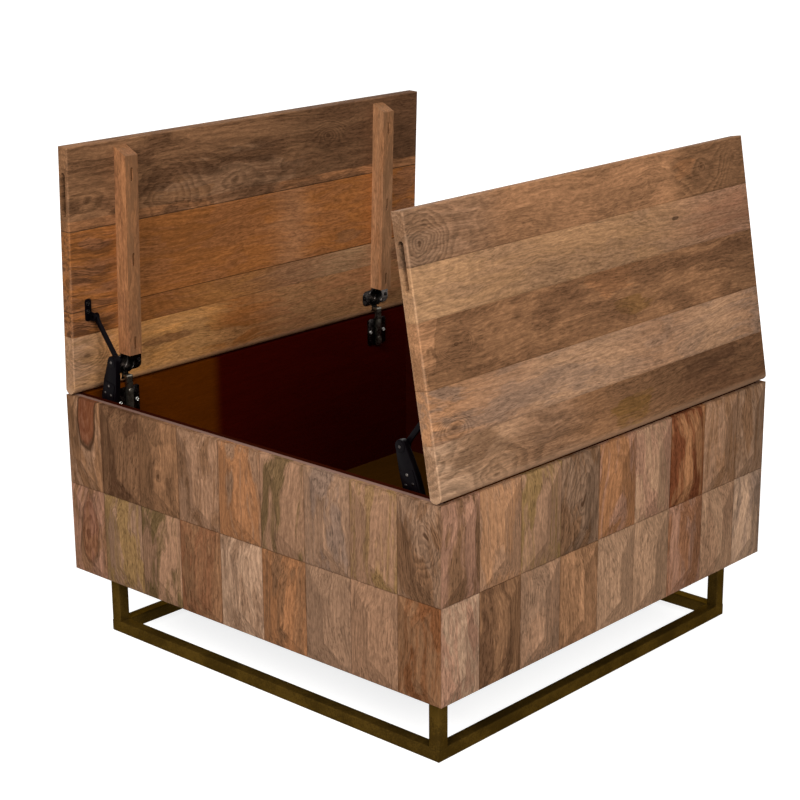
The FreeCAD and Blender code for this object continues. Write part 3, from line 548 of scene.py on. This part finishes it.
def plank_material(side, number, tones, streak, strengths, seed, features):
    material, n, shader = new_material(f"{side}_plank_{number}_figure")
    reach, y, height = lid_place(n, side)
    seams = [LID_REACH] + [place for place, strength in JOINT_LINES[side]] + [0.0]
    middle = (seams[number - 1] + seams[number]) / 2
    grain = n.join(y, n.minus(reach, middle), height)
    ragged = n.minus(n.noise(grain, (8, 60, 60), 5.0, 0.65), 0.5)
    length = n.line(ragged, 0.16, n.line(y, 1 / (2 * HALF), 0.5))
    words = [word.split("@") for word in tones.split()]
    colour = n.ramp(length, [(float(place), tone(name)) for name, place in words])
    for low, high, name in features.get("bands", ()):
        wave = n.line(ragged, 0.004, reach)
        inside = n.times(n.span(wave, low - 0.001, low), n.span(wave, high + 0.001, high))
        colour = n.mix(inside, colour, tone(name))
    if "cap" in features:
        limit, name = features["cap"]
        wave = n.line(n.minus(n.noise(grain, (18, 16, 16), 3.0), 0.5), 0.2, y)
        colour = n.mix(n.span(wave, limit + 0.001, limit - 0.001), colour, tone(name))
    for stain_y, stain_reach, size, stretch, name, strength in features.get("stains", ()):
        share = knot_field(n, grain, stain_y, stain_reach - middle, size, stretch)[1]
        share = n.line(ragged, 2.4, share)
        colour = n.mix(n.span(share, 1.1, 0.85, 0.0, strength), colour, tone(name))
    figure = n.span(n.math("ABSOLUTE", y), 0.29, 0.33, *strengths)
    loop, gap, core = 0.0, 0.1, 0.0
    for knot_y, knot_reach, size, stretch, step in features.get("knots", ()):
        knot_gap, share, knot_loop = knot_field(n, grain, knot_y, knot_reach - middle, size, stretch, step, 0.8)
        loop = n.math("MAXIMUM", loop, knot_loop)
        gap = n.math("MINIMUM", gap, knot_gap)
        core = n.math("MAXIMUM", core, n.span(n.times(share, size), 0.0045, 0.0015, 0.0, 0.6))

    def finish(colour):
        end_grain = n.span(n.math("ABSOLUTE", n.normal()[1]), 0.7, 0.95)
        colour = n.mix(n.times(end_grain, 0.25), colour, tone("umber"))
        if "stripes" in features:
            bends = n.waver(grain, (13, 14, 14), (0.0, 0.035, 0.0))
            stripes = n.noise(n.vector("ADD", grain, bends), (7, 130, 130), 4.0, 0.6)
            stripes = n.span(stripes, 0.46, 0.6, 0.0, features["stripes"])
            colour = n.mix(n.times(stripes, n.span(y, -0.29, -0.33)), colour, tone("bark"))
        # Painted light: the rounded nose by the hinge axis is made paler, against the shade that falls on it
        colour = n.mix(n.span(reach, 0.004, -0.007, 0.0, 0.45), colour, tone("pale"))
        for place, strength in JOINT_LINES[side]:
            line = n.span(n.math("ABSOLUTE", n.minus(reach, place)), 0.0012, 0.0004, 0.0, strength)
            colour = n.mix(line, colour, tone("bark"))
        # Eased edges paler in patches: partly wear, partly a painted highlight where light catches the edge
        wear_and_highlight = n.span(n.noise(grain, (30, 30, 30), 3.0), 0.3, 0.65, 0.0, EDGE_WEAR_AND_HIGHLIGHT[side])
        return n.mix(n.times(lid_edge(n, reach, y, height), wear_and_highlight), colour, tone("pale"))

    wood_surface(n, shader, finish, Grain=grain, Seed=seed, Tone=colour, Streak=tone(streak), Figure=figure,
                 Loop=loop, Gap=gap, Knot=core)
    return material


def dress(node, material):
    """Gives a CAD node its material."""
    materials = NODES[node].data.materials
    materials.clear()
    materials.append(material)


for lid_side, specs in PLANKS.items():
    for plank, plank_spec in enumerate(specs, start=1):
        dress(f"{lid_side}_lid_plank_{plank}", plank_material(lid_side, plank, *plank_spec))


def batten_material(side, end, main, streak, seed):
    material, n, shader = new_material(f"{side}_batten_{end}_figure")
    reach, y, height = lid_place(n, side)
    grain = n.join(reach, y, height)

    def finish(colour):
        # Painted shade, partly weathering: faces that do not face the lid's ends are darkened towards umber in
        # spotty patches
        side_face = n.math("ABSOLUTE", n.normal()[1])
        shade_and_weather_spots = n.span(n.noise(grain, (22, 90, 90), 4.0, 0.6), 0.42, 0.62, 0.25, 0.75)
        return n.mix(n.times(n.span(side_face, 0.6, 0.4), shade_and_weather_spots), colour, tone("umber"))

    wood_surface(n, shader, finish, Grain=grain, Seed=seed, Tone=tone(main), Streak=tone(streak), Figure=0.6)
    return material


BATTENS = {("left", "front"): ("orange", "russet", 2.2), ("left", "back"): ("apricot", "orange", 3.7),
           ("right", "front"): ("apricot", "taupe", 5.2), ("right", "back"): ("apricot", "orange", 6.6)}
for (lid_side, lid_end), batten in BATTENS.items():
    dress(f"{lid_side}_lid_batten_{lid_end}", batten_material(lid_side, lid_end, *batten))


# Dark stained carcass
PALE_RIM = 0.385
BARE_WOOD = linear(126, 98, 88)
LIT_FRONT_LIMIT = (-0.085, -0.115)


def carcass_material(name, turn, seed, main, front, rim):
    """turn is the order in which x, y and z run along, across and through the grain.

    Screen tones: main for the back, front for the painted lit front part; rim says how bare the panel's top is."""
    material, n, shader = new_material(f"{name}_stain")
    spot = n.split(n.place())
    # Painted light: on the side walls the front part takes a lighter brown where light reaches it, and the back
    # part stays darker in painted shade
    colour = n.mix(n.span(spot[1], *LIT_FRONT_LIMIT), linear(*main), linear(*front))

    def finish(figured):
        top = n.times(n.span(spot[2], RIM - 0.0015, RIM - 0.0005, 0.0, rim),
                      n.span(n.math("ABSOLUTE", spot[1]), PALE_RIM - 0.001, PALE_RIM + 0.001))
        return n.mix(top, n.mix(0.6, figured, colour), BARE_WOOD)

    wood_surface(n, shader, finish, MATT, Grain=n.join(*[spot[i] for i in turn]), Seed=seed, Tone=colour,
                 Streak=n.shade(colour, 0.6), Figure=0.5)
    return material


# Panels: grain turn, seed, back tone, front tone (lighter on the side walls as painted light), how bare the top
# is
CARCASS = {"wall_front": ((0, 2, 1), 1.1, (44, 12, 4), (44, 12, 4), 0.9),
           "wall_back": ((0, 2, 1), 2.3, (41, 7, 3), (41, 7, 3), 0.9),
           "wall_left": ((1, 2, 0), 3.9, (53, 6, 2), (83, 38, 3), 0.0),
           "wall_right": ((1, 2, 0), 4.7, (53, 6, 2), (83, 38, 3), 0.0),
           "floor_panel": ((1, 0, 2), 5.5, (62, 36, 5), (62, 36, 5), 0.0)}
for panel, panel_spec in CARCASS.items():
    dress(panel, carcass_material(panel, *panel_spec))


# Metals
SPECKLE_DEPTH = 0.0003


def metal_material(name, light, dark, roughness, metallic=1.0, patch=60.0, bump=0.08, also=None):
    """A metal between two tones, given as they look on a screen, with patches, speckles and fine scratches.

    also holds constants for more of the shader's sockets."""
    material, n, shader = new_material(name)
    spot = n.place()
    patches = n.noise(spot, (patch, patch, patch), 5.0, 0.65)
    speckle = n.noise(spot, (420, 420, 420))
    scratches = n.noise(spot, (900, 40, 900))
    blend = n.line(n.minus(speckle, 0.5), 0.5, patches)
    rough = n.span(patches, 0.3, 0.7, roughness - 0.06, roughness + 0.08)
    rough = n.line(n.minus(scratches, 0.5), 0.18, rough)
    n.set(shader, {"Base Color": n.mix(n.span(blend, 0.35, 0.68), linear(*dark), linear(*light)),
                   "Roughness": rough, "Normal": n.bump(bump, SPECKLE_DEPTH, speckle),
                   "Metallic": metallic} | (also or {}))
    return material


BRASS = metal_material("antique_brass_patina", (80, 60, 22), (56, 41, 14), 0.45, 0.4, 12.0,
                       also={"Specular Tint": (0.5, 0.45, 0.35, 1), "Specular IOR Level": 0.0})
NICKEL = metal_material("black_nickel_plate", (96, 90, 86), (42, 38, 37), 0.24)
STEEL = metal_material("bright_nickel_plate", (150, 143, 130), (104, 98, 88), 0.3)
BLACK_OXIDE = metal_material("black_oxide_steel", (38, 35, 34), (20, 18, 18), 0.34)
ENAMEL = metal_material("black_enamel", (8, 5, 7), (4, 2, 4), 0.42, 0.0, 40.0, 0.15,
                        {"Specular IOR Level": 0.04})
ZINC = metal_material("zinc_plate", (196, 194, 188), (150, 148, 144), 0.28, patch=90.0)
SLOT_MATERIALS = {"antique_brass": BRASS, "black_nickel": NICKEL, "black_steel": ENAMEL, "screw_steel": ZINC}
for subpart in frame["record"]["subparts"]:
    if subpart["material_slot"] in SLOT_MATERIALS:
        dress(subpart["node"], SLOT_MATERIALS[subpart["material_slot"]])


# Detail pieces, built in a frame of their own: x and z in the frame's plane, y as in the table
CORNER_STEPS = 4
PIN_HEAD = 0.006
PIN_DOME = 0.0015
SHARP = math.radians(35)


def frame_matrix(origin, along, out):
    return Matrix.Translation(origin) @ Matrix((along, (0, 1, 0), out)).transposed().to_4x4()


def lid_matrix(side):
    return frame_matrix(*lid_axes(side))


def end_matrix(side):
    """x runs inwards from the outside of the body's left or right end, z up from the floor."""
    sign = -1 if side == "left" else 1
    return frame_matrix(Vector((sign * HALF, 0, 0)), Vector((-sign, 0, 0)), Vector((0, 0, 1)))


def arc(x, z, radius, start, end, steps):
    """Points on an arc, angles in degrees."""
    angles = [math.radians(start + (end - start) * i / steps) for i in range(steps + 1)]
    return [(x + radius * math.cos(a), z + radius * math.sin(a)) for a in angles]


def rounded_box(x0, x1, z0, z1, radius):
    left, right, low, high = x0 + radius, x1 - radius, z0 + radius, z1 - radius
    corners = enumerate(((right, low), (right, high), (left, high), (left, low)))
    return [spot for i, corner in corners for spot in arc(*corner, radius, 90 * i - 90, 90 * i, CORNER_STEPS)]


def inset(outline, distance):
    """An outline that runs counter-clockwise, moved inwards."""
    moved = []
    for i, spot in enumerate(outline):
        before = Vector(spot) - Vector(outline[i - 1])
        after = Vector(outline[(i + 1) % len(outline)]) - Vector(spot)
        before, after = before.normalized(), after.normalized()
        middle = Vector((-before.y - after.y, before.x + after.x))
        middle *= distance / max(0.3, 1 + before.dot(after))
        moved.append((spot[0] + middle.x, spot[1] + middle.y))
    return moved


def add_rings(mesh, rings, tip=None):
    """A closed form from rings of points, one after the other, with a flat end or a tip."""
    rings = [[mesh.verts.new(spot) for spot in ring] for ring in rings]
    for low, high in zip(rings, rings[1:]):
        for i in range(len(low)):
            mesh.faces.new((low[i - 1], low[i], high[i], high[i - 1])).smooth = True
    mesh.faces.new(rings[0][::-1])
    if tip is None:
        mesh.faces.new(rings[-1])
        return
    middle = mesh.verts.new(tip)
    for i, vert in enumerate(rings[-1]):
        mesh.faces.new((rings[-1][i - 1], vert, middle)).smooth = True


def add_slab(mesh, matrix, outline, low, high, ease):
    """An outline in x and z, from y low to y high, with its edges rounded by ease."""
    round_over = [(ease, 0.0), (ease * 0.3, ease * 0.3), (0.0, ease)]
    levels = ([(gap, low + rise) for gap, rise in round_over]
              + [(gap, high - rise) for gap, rise in reversed(round_over)])
    add_rings(mesh, [[matrix @ Vector((x, y, z)) for x, z in inset(outline, gap)] for gap, y in levels])


# Turns of a slab so that its thickness runs along x or z
ACROSS_X = Matrix(((0, 1, 0, 0), (1, 0, 0, 0), (0, 0, 1, 0), (0, 0, 0, 1)))
ACROSS_Z = Matrix(((1, 0, 0, 0), (0, 0, 1, 0), (0, 1, 0, 0), (0, 0, 0, 1)))


def add_turned(mesh, matrix, start, axis, profile, steps, cross=0.0):
    """A turned piece from a point along an axis, by (radius, distance) pairs from its tip to its head.

    With cross, a cross recess of that depth is sunk in the last two rings."""
    axis = Vector(axis)
    side = Vector((0, 1, 0)) if abs(axis.y) < 0.5 else Vector((1, 0, 0))
    other = axis.cross(side)
    rings = []
    for number, (radius, distance) in enumerate(profile):
        ring = []
        for i in range(steps):
            angle = 2 * math.pi * i / steps
            sunk = cross if number >= len(profile) - 2 and i % (steps // 4) == 0 else 0.0
            spot = Vector(start) + axis * (distance - sunk)
            spot += (side * math.cos(angle) + other * math.sin(angle)) * radius
            ring.append(matrix @ spot)
        rings.append(ring)
    add_rings(mesh, rings, matrix @ (Vector(start) + axis * (profile[-1][1] - cross)))


def add_screw(mesh, matrix, seat, axis, shank, head=0.0035):
    """A pan head screw that seats at a point. axis points out of its head."""
    profile = [(0.0003, -shank), (0.0016, -shank + 0.003), (0.002, -shank + 0.005), (0.002, 0.0), (head, 0.0),
               (head, 0.0005), (head * 0.93, 0.001), (head * 0.76, 0.0014), (head * 0.6, 0.0015),
               (head * 0.25, 0.0015)]
    add_turned(mesh, matrix, seat, axis, profile, 16, 0.0009)


def add_pin(mesh, matrix, place, low, high, radius):
    """A rivet through a point in x and z, from y low to y high, with a domed head beyond that."""
    length = high - low
    profile = [(radius * 0.8, 0.0), (radius, 0.0005), (radius, length)]
    profile += [(PIN_HEAD * share, length + PIN_DOME * rise)
                for share, rise in ((1, 0), (1, 0.4), (0.9, 0.7), (0.65, 0.92), (0.3, 1))]
    add_turned(mesh, matrix, (place[0], low, place[1]), (0, 1, 0), profile, 20)


def finish_piece(name, mesh, body, slot_name, replaced, material=None):
    bmesh.ops.recalc_face_normals(mesh, faces=mesh.faces)
    piece = mesh_object(name, mesh, material or SLOT_MATERIALS[slot_name], body, replaced)
    piece.data.set_sharp_from_angle(angle=SHARP)


def finish_fittings(side, slot_name, *fittings):
    """Finishes pieces of one lid by name, mesh, body, CAD node and, where it differs, material."""
    for name, mesh, body, node, *material in fittings:
        body = body if body == "trunk" else f"{side}_{body}"
        replaced = [f"{side}_{node}"] if node else ()
        finish_piece(f"{side}_{name}", mesh, body, slot_name, replaced, *material)


# Base of square tube with rounded edges
BASE_HALF = 0.361
TUBE = 0.02
TUBE_EDGE = 0.0018
LEG_TOP = 0.108
LEGS = {"front_left": (-1, -1), "front_right": (1, -1), "back_left": (-1, 1), "back_right": (1, 1)}


def make_tube(name, rings):
    mesh = bmesh.new()
    add_rings(mesh, rings)
    finish_piece(f"{name}_tube", mesh, "trunk", "antique_brass", [name])


def rail_rings(turn):
    section = rounded_box(0.0, TUBE, 0.0, TUBE, TUBE_EDGE)
    return [[turn @ Vector((sign * (BASE_HALF - depth), depth - BASE_HALF, rise)) for depth, rise in section]
            for sign in (-1, 1)]


def leg_rings(signs):
    x0, y0 = [sign * BASE_HALF - (TUBE if sign > 0 else 0) for sign in signs]
    section = rounded_box(x0, x0 + TUBE, y0, y0 + TUBE, TUBE_EDGE)
    return [[Vector((x, y, rise)) for x, y in section] for rise in (TUBE, LEG_TOP)]


for face_name, face_turn in FACE_TURNS.items():
    make_tube(f"rail_{face_name}", rail_rings(face_turn))
for leg_name, leg_signs in LEGS.items():
    make_tube(f"leg_{leg_name}", leg_rings(leg_signs))

# Hinges
HINGE_Y = (-0.295, 0.295)
CUP_X = 0.022
CUP_RADIUS = 0.0167
CUP_OUTSIDE = 0.0175
CUP_WALL = 0.0008
CUP_DEPTH = 0.0142
CUP_STEPS = 72
LIP = 0.0186
SLOT_HALF = 0.0066
FLANGE = (0.014, 0.033, 0.009)
FLANGE_RISE = 0.0012
# Boxes of the tongue that holds the pin: from and to in x, in y from the cup's middle, and in z
TONGUE = ((-0.0054, 0.0075, -0.0082, -SLOT_HALF, -0.0085, 0.004),
          (-0.0054, 0.0075, SLOT_HALF, 0.0082, -0.0085, 0.004),
          (-0.0053, -0.0038, -0.007, 0.007, -0.0084, 0.0039),
          (-0.0041, 0.008, -0.0069, 0.0069, CUP_DEPTH - LID_HALF, 0.0038))
# Outline of a hinge arm in x and z, heights and profile of its screws, and the plate behind it
ARM_OUTLINE = ([(0.033, 0.354), (0.033, 0.4196)] + arc(0.03, 0.4216, 0.003, 0, 90, 5)
               + arc(0.011, 0.422, 0.0026, 90, 270, 8) + [(0.027, 0.4194), (0.027, 0.354)])
ARM_HALF = 0.006
ARM_SCREWS = (0.366, 0.398)
ARM_SCREW = [(0.0036, 0.0), (0.0036, 0.0002), (0.0032, 0.0005), (0.002, 0.0005), (0.0008, 0.0005)]
PLATE_HALF = 0.023
PLATE_X = (0.024, 0.027)
PLATE_Z = (0.354, 0.404)


def flange_reach(angle):
    """The distance from the cup's middle to the edge of its flange, a rounded plate joined with the cup's rim."""
    half_x, half_y, corner = FLANGE
    c, s = abs(math.cos(angle)), abs(math.sin(angle))
    reach = min(half_x / max(c, 1e-6), half_y / max(s, 1e-6))
    if reach * c > half_x - corner and reach * s > half_y - corner:
        middle = Vector((half_x - corner, half_y - corner))
        ray = Vector((c, s))
        ahead = middle.dot(ray)
        reach = ahead + math.sqrt(max(corner ** 2 - middle.length_squared + ahead ** 2, 0.0))
    return max(reach, LIP)


def add_cup(mesh, matrix, y):
    """Cup, lip and flange on the lid's inner face, open towards the hinge axis, and the pin's tongue."""
    half_turn = math.pi - math.asin(SLOT_HALF / CUP_RADIUS)
    rays = []
    for i in range(CUP_STEPS + 1):
        angle = -half_turn + 2 * half_turn * i / CUP_STEPS
        edge = flange_reach(angle)
        profile = [(0.0162, -CUP_DEPTH), (CUP_RADIUS, 0.0005 - CUP_DEPTH), (CUP_RADIUS, FLANGE_RISE),
                   (0.01695, 0.00165), (0.0177, 0.00165), (0.0181, FLANGE_RISE),
                   (max(0.01815, edge - 0.0005), FLANGE_RISE), (edge, FLANGE_RISE - 0.0005), (edge, 0.0),
                   (CUP_OUTSIDE, 0.0), (CUP_OUTSIDE, -CUP_DEPTH - CUP_WALL)]
        c, s = math.cos(angle), math.sin(angle)
        rays.append([mesh.verts.new(matrix @ Vector((CUP_X + r * c, y + r * s, -LID_HALF - rise)))
                     for r, rise in profile])
    for first, second in zip(rays, rays[1:]):
        for i in range(len(first) - 1):
            mesh.faces.new((first[i], first[i + 1], second[i + 1], second[i])).smooth = True
    for loop in (rays[0], rays[-1], [ray[0] for ray in rays], [ray[-1] for ray in rays],
                 (rays[0][0], rays[-1][0], rays[-1][-1], rays[0][-1])):
        mesh.faces.new(loop)
    for x0, x1, y0, y1, z0, z1 in TONGUE:
        add_slab(mesh, matrix, [(x0, z0), (x1, z0), (x1, z1), (x0, z1)], y + y0, y + y1, 0.0002)


def make_hinges(side):
    on_wall = end_matrix(side)
    cups, arms, plates = bmesh.new(), bmesh.new(), bmesh.new()
    for y in HINGE_Y:
        add_cup(cups, lid_matrix(side), y)
        add_slab(arms, on_wall, ARM_OUTLINE, y - ARM_HALF, y + ARM_HALF, 0.0007)
        for z in ARM_SCREWS:
            add_turned(arms, on_wall, (0.0329, y, z), (1, 0, 0), ARM_SCREW, 16, 0.0004)
        plate = rounded_box(y - PLATE_HALF, y + PLATE_HALF, *PLATE_Z, 0.005)
        add_slab(plates, on_wall @ ACROSS_X, plate, *PLATE_X, 0.0006)
    finish_fittings(
        side, "black_nickel", ("hinge_cup_set", cups, "lid", "hinge_cups"),
        ("hinge_arm_set", arms, "trunk", "hinge_arms", STEEL),
        ("hinge_plate_set", plates, "trunk", "hinge_plates"))


# Lid stays: fixed pivots on the wall and on the lid, and layers in y from the front wall's inner face on
STAY_BASE = (0.061, 0.358)
STAY_PIVOT = (0.114, -0.019)
MOUNT_Y = (-0.376, -0.373)
BRACKET_Y = (-0.3745, -0.3625)
COVER_Y = -0.3737
CRANK_Y = (-0.3725, -0.3625)
LUG_Y = (-0.3655, -0.3625)
LINK_Y = (-0.362, -0.357)
RIVET_END = -0.3565
# How deep the bracket's foot lies under the lid's middle, and turned profiles on the crank
BRACKET_FACE = -0.0135
KNUCKLE = [(0.0085, -0.0003), (0.0085, 0.0009), (0.0079, 0.0012), (0.004, 0.0012)]
RIVET_HEAD = [(0.0026, -0.0003), (0.0026, 0.0004), (0.0021, 0.0008), (0.001, 0.001)]
CRANK_HALF = 0.016
EYE = 0.006
ROD_HALF = 0.004
NECK = 0.012


def bar_frame(first, second):
    """A bar's direction in degrees, its length, and a function that places a point along and across it."""
    line = Vector(second) - Vector(first)
    ahead = line.normalized()

    def at(along, across):
        return first[0] + ahead.x * along - ahead.y * across, first[1] + ahead.y * along + ahead.x * across

    return math.degrees(math.atan2(line.y, line.x)), line.length, at


def crank_outline(base, elbow):
    """A broad arm that narrows from its shoulders to a knuckle."""
    turn, _, at = bar_frame(base, elbow)
    return (arc(*elbow, 0.01, turn - 70, turn + 70, 12) + [at(0.084, 0.0146), at(0.07, CRANK_HALF)]
            + arc(*base, CRANK_HALF, turn + 90, turn + 270, 16) + [at(0.07, -CRANK_HALF), at(0.084, -0.0146)])


def link_outline(elbow, eye):
    """A slim rod between two eyes."""
    turn, length, at = bar_frame(elbow, eye)
    far = length - NECK
    return (arc(*eye, EYE, turn - 120, turn + 120, 12) + [at(far, ROD_HALF), at(NECK, ROD_HALF)]
            + arc(*elbow, EYE, turn + 60, turn + 300, 12) + [at(NECK, -ROD_HALF), at(far, -ROD_HALF)])


def make_stay(side):
    on_wall, on_lid = end_matrix(side), lid_matrix(side)
    tilt = LID_OPEN[side] + math.atan2(STAY_PIVOT[1], STAY_PIVOT[0])
    length = math.hypot(*STAY_PIVOT)
    elbow = (STAY_BASE[0] + length * math.cos(tilt), STAY_BASE[1] + length * math.sin(tilt))
    eye = on_wall.inverted() @ (on_lid @ Vector((STAY_PIVOT[0], 0, STAY_PIVOT[1])))
    mount, crank, rivets, link, bracket, elbow_pin, bracket_pin = [bmesh.new() for _ in range(7)]
    add_slab(mount, on_wall, rounded_box(0.041, 0.081, 0.312, 0.374, 0.006), *MOUNT_Y, 0.0006)

    add_slab(crank, on_wall, crank_outline(STAY_BASE, elbow), *CRANK_Y, 0.0012)
    at = bar_frame(STAY_BASE, elbow)[2]
    cover = [at(*spot) for spot in rounded_box(0.036, 0.081, -0.0125, 0.0125, 0.003)]
    add_slab(crank, on_wall, cover, COVER_Y, CRANK_Y[0] + 0.0005, 0.0005)
    add_turned(crank, on_wall, (elbow[0], CRANK_Y[0], elbow[1]), (0, -1, 0), KNUCKLE, 24)
    for x, z in (at(0.061, 0.007), at(0.061, -0.007), at(0.075, 0.0), elbow):
        add_turned(rivets, on_wall, (x, COVER_Y, z), (0, -1, 0), RIVET_HEAD, 12)

    add_slab(link, on_wall, link_outline(elbow, (eye.x, eye.z)), *LINK_Y, 0.001)
    foot = rounded_box(0.107, 0.143, *BRACKET_Y, 0.004)
    add_slab(bracket, on_lid @ ACROSS_Z, foot, BRACKET_FACE, -LID_HALF, 0.0006)
    lug = [(0.121, -LID_HALF), (0.107, -LID_HALF)] + arc(*STAY_PIVOT, 0.007, 180, 360, 12)
    add_slab(bracket, on_lid, lug, *LUG_Y, 0.0006)
    add_pin(elbow_pin, on_wall, elbow, CRANK_Y[0], RIVET_END, 0.0025)
    add_pin(bracket_pin, on_lid, STAY_PIVOT, LUG_Y[0], RIVET_END, 0.0025)
    finish_fittings(
        side, "black_steel", ("stay_mount_plate", mount, "trunk", "stay_mount"),
        ("stay_crank_arm", crank, "crank", "stay_crank"),
        ("stay_crank_rivets", rivets, "crank", None, NICKEL),
        ("stay_link_rod", link, "link", "stay_link"),
        ("stay_bracket_foot", bracket, "lid", "stay_bracket"),
        ("stay_elbow_rivet", elbow_pin, "crank", "stay_elbow_pin"),
        ("stay_bracket_rivet", bracket_pin, "lid", "stay_bracket_pin"))


def make_lid_screws(side):
    on_lid = lid_matrix(side)
    inwards = (0, 0, -1)
    plain, deep = bmesh.new(), bmesh.new()
    for y in HINGE_Y:
        for spread in (-0.027, 0.027):
            add_screw(plain, on_lid, (CUP_X, y + spread, -LID_HALF - FLANGE_RISE), inwards, 0.0112)
        for reach in (0.3375, 0.19925, 0.061):
            add_screw(deep, on_lid, (reach, y, -0.024), inwards, 0.023, 0.0024)
    for reach in (0.123, 0.136):
        add_screw(plain, on_lid, (reach, -0.37, BRACKET_FACE), inwards, 0.0125)
    finish_fittings(side, "screw_steel", ("lid_screw_set", plain, "lid", "lid_screws", BLACK_OXIDE),
                    ("batten_screw_set", deep, "lid", "batten_screws"))


def make_trunk_fasteners():
    plate_screws, mount_screws, leg_screws, pins = [bmesh.new() for _ in range(4)]
    for side in LID_OPEN:
        on_wall = end_matrix(side)
        for y, spread in product(HINGE_Y, (-0.017, 0.017)):
            add_screw(plate_screws, on_wall, (PLATE_X[1], y + spread, 0.379), (1, 0, 0), 0.013)
        for spread in (-0.012, 0.012):
            add_screw(mount_screws, on_wall, (STAY_BASE[0] + spread, MOUNT_Y[1], 0.32), (0, 1, 0), 0.013)
        add_pin(pins, on_wall, STAY_BASE, MOUNT_Y[0], LINK_Y[0], 0.004)
    for (sign_x, sign_y), (x, y) in product(LEGS.values(), ((0.311, 0.351), (0.351, 0.311))):
        add_screw(leg_screws, Matrix(), (sign_x * x, sign_y * y, LEG_TOP), (0, 0, -1), 0.014)
    for name, mesh in (("hinge_plate", plate_screws), ("stay_mount", mount_screws), ("leg_plate", leg_screws)):
        finish_piece(f"{name}_screw_set", mesh, "trunk", "screw_steel", [f"{name}_screws"])
    finish_piece("stay_base_rivets", pins, "trunk", "black_steel", ["stay_base_pins"])


for lid_side in LID_OPEN:
    make_hinges(lid_side)
    make_stay(lid_side)
    make_lid_screws(lid_side)
make_trunk_fasteners()


# Stage, light and camera
WHITE = (1, 1, 1, 1)
FLOOR_HALF = 12.0
FLOOR_TONE = (0.4, 0.4, 0.4, 1)
AMBIENT = 0.13
AIM = Vector((0, 0, 0.4))
LAMP_DISTANCE = 5.0
LAMP_SIZE = 1.8
# The photograph's viewpoint: place in metres, angles in degrees, focal length and offsets in its pixels
CAMERA_PLACE = (2.076964, -2.291588, 1.331322)
CAMERA_AZIMUTH = 41.336
CAMERA_ELEVATION = 16.889
FOCAL_LENGTH = 1998.443
OFFSET = (-48.25, -2.462)
PHOTO_SIZE = 800
SENSOR = 36


def make_floor():
    mesh = bmesh.new()
    bmesh.ops.create_grid(mesh, x_segments=2, y_segments=2, size=FLOOR_HALF)
    material, n, shader = new_material("pale_floor")
    n.set(shader, {"Base Color": FLOOR_TONE, "Roughness": 0.9})
    away = n.vector("LENGTH", n.place())
    strength = n.times(n.seen(), n.span(away, 0.6, 2.2, 0.82, 1.0))
    glow = n.add("ShaderNodeEmission", {"Color": WHITE, "Strength": strength})
    both = n.add("ShaderNodeAddShader", {0: shader.outputs[0], 1: glow.outputs[0]})
    n.set(material.node_tree.nodes["Material Output"], {"Surface": both.outputs[0]})
    floor = new_mesh("floor", mesh, material)


def make_world():
    world = bpy.data.worlds.new("studio")
    bpy.context.scene.world = world
    world.use_nodes = True
    n = Nodes(world.node_tree)
    seen = n.seen()
    n.set(world.node_tree.nodes["Background"], {
        "Color": n.mix(seen, (0.97, 0.98, 1.0, 1), WHITE),
        "Strength": n.line(seen, 1.0 - AMBIENT, AMBIENT)})


def towards(azimuth, elevation):
    """The direction to what stands at these degrees round from the table's front and up."""
    az, el = math.radians(azimuth), math.radians(elevation)
    return Vector((math.sin(az) * math.cos(el), -math.cos(az) * math.cos(el), math.sin(el)))


def make_lamp(name, azimuth, elevation, light, colour):
    """A square soft box aimed at the table. light is what it gives a white surface that faces it."""
    back = towards(azimuth, elevation)
    lamp = bpy.data.lights.new(name, "AREA")
    lamp.shape = "SQUARE"
    lamp.size = LAMP_SIZE
    lamp.color = colour
    lamp.energy = light * math.pi ** 2 * LAMP_DISTANCE ** 2
    turn = back.to_track_quat("Z", "Y").to_matrix().to_4x4()
    new_object(name, lamp).matrix_world = Matrix.Translation(AIM + back * LAMP_DISTANCE) @ turn


def make_camera():
    back = towards(CAMERA_AZIMUTH, CAMERA_ELEVATION)
    right = towards(CAMERA_AZIMUTH + 90, 0)
    turn = Matrix((right, back.cross(right), back)).transposed().to_4x4()
    data = bpy.data.cameras.new("camera")
    data.sensor_width = SENSOR
    data.lens = FOCAL_LENGTH / PHOTO_SIZE * SENSOR
    data.shift_x, data.shift_y = [pixels / PHOTO_SIZE for pixels in OFFSET]
    data.clip_end = 50
    camera = new_object("camera", data)
    camera.matrix_world = Matrix.Translation(CAMERA_PLACE) @ turn
    bpy.context.scene.camera = camera


make_floor()
make_world()
make_lamp("front box", 14, 36, 0.78, (1.0, 0.98, 0.95))
make_lamp("side box", 60, 30, 0.68, (1.0, 0.97, 0.93))
make_lamp("back box", 222, 42, 0.42, (1.0, 0.98, 0.95))
make_camera()
bpy.context.scene.view_settings.view_transform = "Standard"
